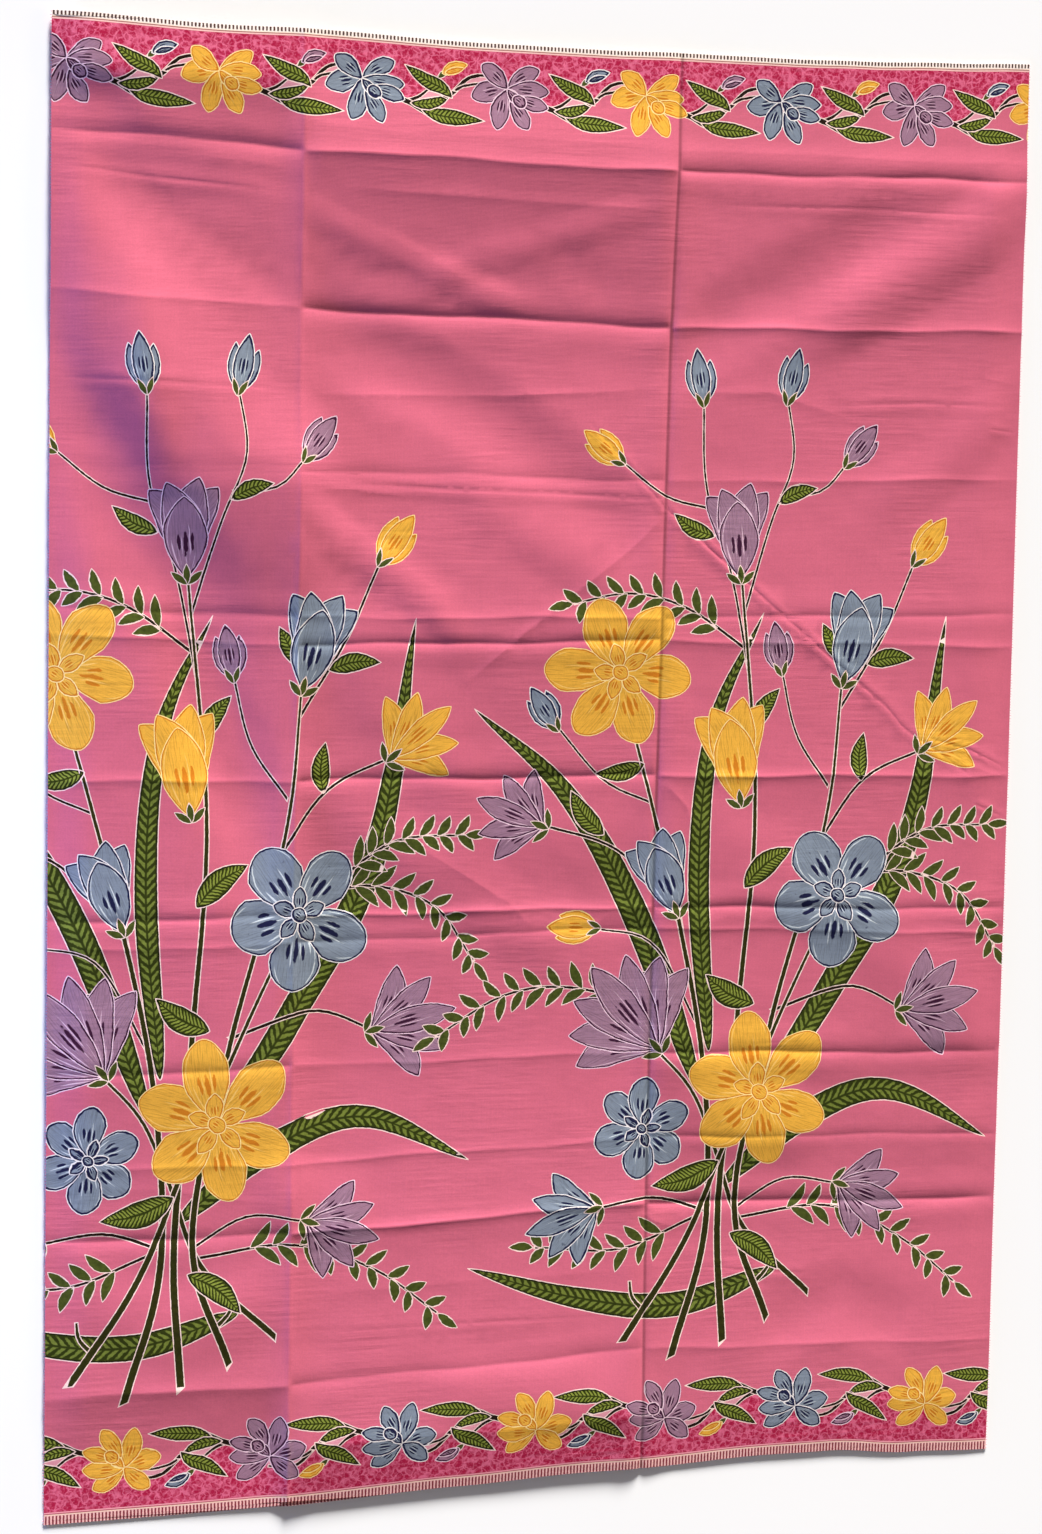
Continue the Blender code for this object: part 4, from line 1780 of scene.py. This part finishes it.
def cloth_materials(dyes):
    """One material for each dye area, in the order of DYES."""
    crimson = tuple(dyes.crimson)
    cream = tuple(dyes.cream)
    leaf = tuple(dyes.leaf)
    leaf_line = linear("#1C1F06")
    comb_lines_top = (
        (0.0042, linear("#F6DCCB")),
        (0.0049, linear("#965A50")),
        (0.0060, linear("#F0BEB9")),
        (0.0100, crimson),
    )
    comb_lines_bottom = (
        (0.0068, linear("#E79A9C")),
        (0.0078, linear("#F0CDB8")),
        (0.0084, linear("#A33A50")),
        (0.0094, linear("#F0A0AC")),
        (0.0120, crimson),
    )
    return {
        "ground": plain_cotton("pink_dyed_cotton", tuple(dyes.ground)),
        "crimson": crackle_cotton("crimson_crackle_cotton", crimson, tuple(dyes.vein)),
        "wedge": plain_cotton("pale_pink_cotton", linear("#DE96A3")),
        "stem": plain_motif_cotton("stem_line_cotton", linear("#22160C"), cream, 0.00060),
        "branch": plain_motif_cotton("branch_cotton", linear("#33330F"), cream, 0.00075),
        "strap_leaf": leaf_cotton(
            "strap_leaf_cotton", leaf, linear("#727E34"), leaf_line, cream, 0.0066, 1.0
        ),
        "border_leaf": leaf_cotton(
            "leaf_cotton", linear("#2E350A"), linear("#88933C"), leaf_line, cream, 0.0032, 0.8
        ),
        "leaflet": plain_motif_cotton("leaflet_cotton", linear("#4C5520"), cream, 0.00060),
        "yellow": petal_cotton(
            "yellow_petal_cotton", tuple(dyes.yellow),
            linear("#F2C064"), linear("#C8781E"), linear("#F6D990"), 0.0008,
        ),
        "blue": petal_cotton(
            "blue_petal_cotton", tuple(dyes.blue),
            linear("#C8D0D4"), linear("#1A1C3C"), linear("#EDE6E4"), 0.0012,
        ),
        "lilac": petal_cotton(
            "lilac_petal_cotton", tuple(dyes.lilac),
            linear("#D8B4C4"), linear("#3A1830"), linear("#EBC8D7"), 0.0010,
        ),
        "comb_top": comb_cotton(
            "selvedge_comb_cotton", False,
            linear("#FAEBE1"), linear("#4A302C"), 0.0031, 0.0028, comb_lines_top,
        ),
        "comb_bottom": comb_cotton(
            "lower_selvedge_comb_cotton", True,
            linear("#F3BEB9"), linear("#84323E"), 0.0066, 0.0027, comb_lines_bottom,
        ),
    }


# Loose threads, made by Geometry Nodes


def thread_tree(name, material):
    """Short threads that stand out of an edge line, one at each step along it."""
    tree = bpy.data.node_groups.new(name, "GeometryNodeTree")
    tree.interface.new_socket("Geometry", in_out="INPUT", socket_type="NodeSocketGeometry")
    for label, value in (
        ("Pitch", 0.002),
        ("Longest", 0.001),
        ("Radius", 0.0002),
        ("Outward X", 1.0),
        ("Outward Y", 0.0),
        ("Spread", 0.3),
    ):
        socket = tree.interface.new_socket(label, in_out="INPUT", socket_type="NodeSocketFloat")
        socket.default_value = value
    seed = tree.interface.new_socket("Seed", in_out="INPUT", socket_type="NodeSocketInt")
    seed.default_value = 3
    tree.interface.new_socket("Geometry", in_out="OUTPUT", socket_type="NodeSocketGeometry")
    given = tree.nodes.new("NodeGroupInput").outputs
    curve = add(tree, "GeometryNodeMeshToCurve", None, {"Mesh": given["Geometry"]})
    points = add(tree, "GeometryNodeCurveToPoints", {"mode": "LENGTH"},
                 {"Curve": curve, "Length": given["Pitch"]})
    side_x, side_y = two_axes(tree, add(tree, "GeometryNodeInputPosition"))
    out_x = times(tree, calculated(tree, "SIGN", side_x), given["Outward X"])
    out_y = times(tree, calculated(tree, "SIGN", side_y), given["Outward Y"])
    outward = combined(tree, out_x, out_y, 0.0)
    down = times(tree, given["Spread"], -1.0)
    lean_low = combined(tree, down, down, 0.0)
    lean_high = combined(tree, given["Spread"], given["Spread"], given["Spread"])
    lean = add(tree, "FunctionNodeRandomValue", {"data_type": "FLOAT_VECTOR"},
               {0: lean_low, 1: lean_high, 8: given["Seed"]})
    direction = add(tree, "ShaderNodeVectorMath", {"operation": "ADD"}, {0: outward, 1: lean})
    turned = add(tree, "FunctionNodeAlignRotationToVector", {"axis": "Z"}, {"Vector": direction})
    share = add(tree, "FunctionNodeRandomValue", {"data_type": "FLOAT"},
                {2: 0.35, 3: 1.0, 8: given["Seed"]}, output=1)
    length = times(tree, share, given["Longest"])
    size = combined(tree, given["Radius"], given["Radius"], length)
    thread = add(tree, "GeometryNodeMeshCone", {"fill_type": "NGON"},
                 {"Vertices": 5, "Side Segments": 1, "Radius Top": 0.55, "Radius Bottom": 1.0,
                  "Depth": 1.0})
    standing = add(tree, "GeometryNodeInstanceOnPoints", None,
                   {"Points": points, "Instance": thread, "Rotation": turned, "Scale": size})
    real = add(tree, "GeometryNodeRealizeInstances", None, {"Geometry": standing})
    made = add(tree, "GeometryNodeSetMaterial", None, {"Geometry": real, "Material": material})
    end = tree.nodes.new("NodeGroupOutput")
    tree.links.new(made, end.inputs["Geometry"])
    return tree


def new_object(name, data):
    """An object in the scene, with its data."""
    made = bpy.data.objects.new(name, data)
    bpy.context.scene.collection.objects.link(made)
    return made


def edge_line_object(name, lines):
    """An object of plain edge lines, to stand threads on."""
    places = []
    edges = []
    for line in lines:
        first = len(places)
        places += line.tolist()
        edges += [(first + k, first + k + 1) for k in range(len(line) - 1)]
    mesh = bpy.data.meshes.new(name)
    mesh.from_pydata(places, edges, [])
    return new_object(name, mesh)


def threads_from(carrier, tree, values):
    """Run the tree on the carrier with named values, and turn the result into a plain mesh."""
    modifier = carrier.modifiers.new("threads", "NODES")
    modifier.node_group = tree
    for item in tree.interface.items_tree:
        if item.item_type == "SOCKET" and item.in_out == "INPUT" and item.name in values:
            modifier[item.identifier] = values[item.name]
    graph = bpy.context.evaluated_depsgraph_get()
    mesh = bpy.data.meshes.new_from_object(carrier.evaluated_get(graph))
    carrier.modifiers.clear()
    carrier.data = mesh
    mesh.name = carrier.name
    if not mesh.polygons:
        raise RuntimeError(f"no threads were made for {carrier.name}")
    return carrier


# Operators

# The camera that sees the cloth's four corners where the photo has them: metres and degrees.
CAMERA_PLACE = (-0.841, 0.2626, 2.501)
CAMERA_TURN = (-5.872, -18.016, 1.093)


class BATIK_OT_cloth(bpy.types.Operator):
    """Build the printed and creased cloth as one closed shell"""

    bl_idname = "batik.cloth"
    bl_label = "Batik panel"

    def execute(self, context):
        settings = context.scene.batik_cloth
        mesh = cloth_mesh(settings)
        materials = cloth_materials(context.scene.batik_dyes)
        for dye in DYES:
            mesh.materials.append(materials[dye])
        panel = new_object("batik_panel", mesh)
        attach(panel, "root")
        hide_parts("cloth")
        return {"FINISHED"}


class BATIK_OT_threads(bpy.types.Operator):
    """Stand loose thread ends on the two cut ends, and weft turns on the two selvedges"""

    bl_idname = "batik.threads"
    bl_label = "Thread ends and selvedge turns"

    def execute(self, context):
        sizes = context.scene.batik_threads
        middle = 0.5 * context.scene.batik_cloth.shell
        down = np.linspace(0.001, LENGTH - 0.001, 560)
        across = np.linspace(0.0005, WIDTH - 0.0005, 390)

        def line(x, y):
            return np.stack((x - WIDTH / 2, LENGTH / 2 - y, relief(x, y) + middle), axis=1)

        ends = [line(np.full(len(down), x), down) for x in (0.0, WIDTH)]
        turns = [
            line(across, bow_at(across, "top")),
            line(across, LENGTH - bow_at(across, "bottom")),
        ]
        ground = tuple(context.scene.batik_dyes.ground)
        for name, lines, colour, values in (
            (
                "cut_thread_ends", ends, ground,
                {"Pitch": sizes.end_pitch, "Longest": sizes.end_length, "Radius": sizes.radius,
                 "Outward X": 1.0, "Outward Y": 0.0, "Spread": 0.30, "Seed": 5},
            ),
            (
                "selvedge_turns", turns, linear("#EBCFC2"),
                {"Pitch": sizes.turn_pitch, "Longest": sizes.turn_length,
                 "Radius": 1.4 * sizes.radius, "Outward X": 0.0, "Outward Y": 1.0,
                 "Spread": 0.05, "Seed": 9},
            ),
        ):
            tree = thread_tree(name, loose_thread(name + "_cotton", colour))
            carrier = threads_from(edge_line_object(name, lines), tree, values)
            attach(carrier, "root")
        return {"FINISHED"}


class BATIK_OT_stage(bpy.types.Operator):
    """Lay the pale floor, set the soft light, and place the camera where the photo was taken"""

    bl_idname = "batik.stage"
    bl_label = "Floor, light and camera"

    def execute(self, context):
        settings = context.scene.batik_stage
        self.lay_floor(settings)
        self.set_light(settings)
        self.place_camera(settings)
        return {"FINISHED"}

    def lay_floor(self, settings):
        half = 0.5 * settings.floor_size
        mesh = bpy.data.meshes.new("floor")
        corners = [(-half, -half, 0.0), (half, -half, 0.0), (half, half, 0.0), (-half, half, 0.0)]
        mesh.from_pydata(corners, [], [(0, 1, 2, 3)])
        floor = new_object("floor", mesh)
        material, tree = new_material("matt_white_board")
        place = add(tree, "ShaderNodeTexCoord", output="Object")
        tint = painted(tree, linear("#F9F9F9"), linear("#F6F6F6"), grain(tree, place, 3.0))
        give_shader(tree, {"Base Color": tint, "Roughness": 0.9, "Specular IOR Level": 0.1})
        mesh.materials.append(material)

    def set_light(self, settings):
        scene = bpy.context.scene
        # Suns: name, strength, colour, spread in degrees, rise, and turn in degrees.
        for name, strength, colour, spread, rise, turn in (
            ("key", settings.key, (1.0, 0.985, 0.96), 12, settings.key_rise, 84),
            ("violet_side", 0.60, (0.30, 0.35, 1.0), 10, math.radians(8), 215),
            ("warm_side", 0.50, (1.0, 0.62, 0.45), 10, math.radians(12), 0),
        ):
            lamp = bpy.data.lights.new(name, "SUN")
            lamp.energy = strength
            lamp.color = colour
            lamp.angle = math.radians(spread)
            made = new_object(name, lamp)
            angle = math.radians(turn)
            flat = math.cos(rise)
            source = Vector((math.cos(angle) * flat, math.sin(angle) * flat, math.sin(rise)))
            made.location = 4.0 * source
            made.rotation_euler = source.to_track_quat("Z", "Y").to_euler()
        # A small violet lamp stands low beyond the left end and tints what faces it.
        lamp = bpy.data.lights.new("violet_near", "AREA")
        lamp.energy = settings.violet
        lamp.color = (0.15, 0.30, 1.0)
        lamp.shape = "RECTANGLE"
        lamp.size = 0.8
        lamp.size_y = 0.05
        made = new_object("violet_near", lamp)
        made.location = (-0.78, 0.0, 0.055)
        # It shines level along X, and its long side lies along Y.
        made.rotation_euler = (math.radians(90), 0.0, math.radians(-90))
        made.visible_camera = False
        world = bpy.data.worlds.new("even_light")
        world.use_nodes = True
        back = world.node_tree.nodes["Background"]
        back.inputs["Color"].default_value = (1.0, 0.99, 0.985, 1.0)
        back.inputs["Strength"].default_value = settings.fill
        scene.world = world
        scene.view_settings.view_transform = "Standard"

    def place_camera(self, settings):
        lens = bpy.data.cameras.new("camera")
        lens.lens = settings.lens
        lens.sensor_width = 36.0
        lens.clip_start = 0.05
        lens.clip_end = 60.0
        camera = new_object("camera", lens)
        camera.location = CAMERA_PLACE
        camera.rotation_euler = [math.radians(v) for v in CAMERA_TURN]
        bpy.context.scene.camera = camera


class BATIK_PT_side(bpy.types.Panel):
    """Batik cloth panel"""

    bl_idname = "BATIK_PT_side"
    bl_label = "Batik cloth panel"
    bl_space_type = "VIEW_3D"
    bl_region_type = "UI"
    bl_category = "Batik"

    def draw(self, context):
        scene = context.scene
        for operator, settings in (
            (BATIK_OT_cloth, (scene.batik_cloth, scene.batik_dyes)),
            (BATIK_OT_threads, (scene.batik_threads,)),
            (BATIK_OT_stage, (scene.batik_stage,)),
        ):
            box = self.layout.box()
            for group in settings:
                for name in group.__annotations__:
                    box.prop(group, name)
            box.operator(operator.bl_idname)


CLASSES = (
    BATIK_PG_cloth,
    BATIK_PG_dyes,
    BATIK_PG_threads,
    BATIK_PG_stage,
    BATIK_OT_cloth,
    BATIK_OT_threads,
    BATIK_OT_stage,
    BATIK_PT_side,
)


def register():
    for item in CLASSES:
        bpy.utils.register_class(item)
    scene = bpy.types.Scene
    scene.batik_cloth = bpy.props.PointerProperty(type=BATIK_PG_cloth)
    scene.batik_dyes = bpy.props.PointerProperty(type=BATIK_PG_dyes)
    scene.batik_threads = bpy.props.PointerProperty(type=BATIK_PG_threads)
    scene.batik_stage = bpy.props.PointerProperty(type=BATIK_PG_stage)


def unregister():
    scene = bpy.types.Scene
    del scene.batik_stage
    del scene.batik_threads
    del scene.batik_dyes
    del scene.batik_cloth
    for item in reversed(CLASSES):
        bpy.utils.unregister_class(item)


def main():
    register()
    bpy.ops.batik.cloth()
    bpy.ops.batik.threads()
    bpy.ops.batik.stage()


if __name__ == "__main__":
    main()
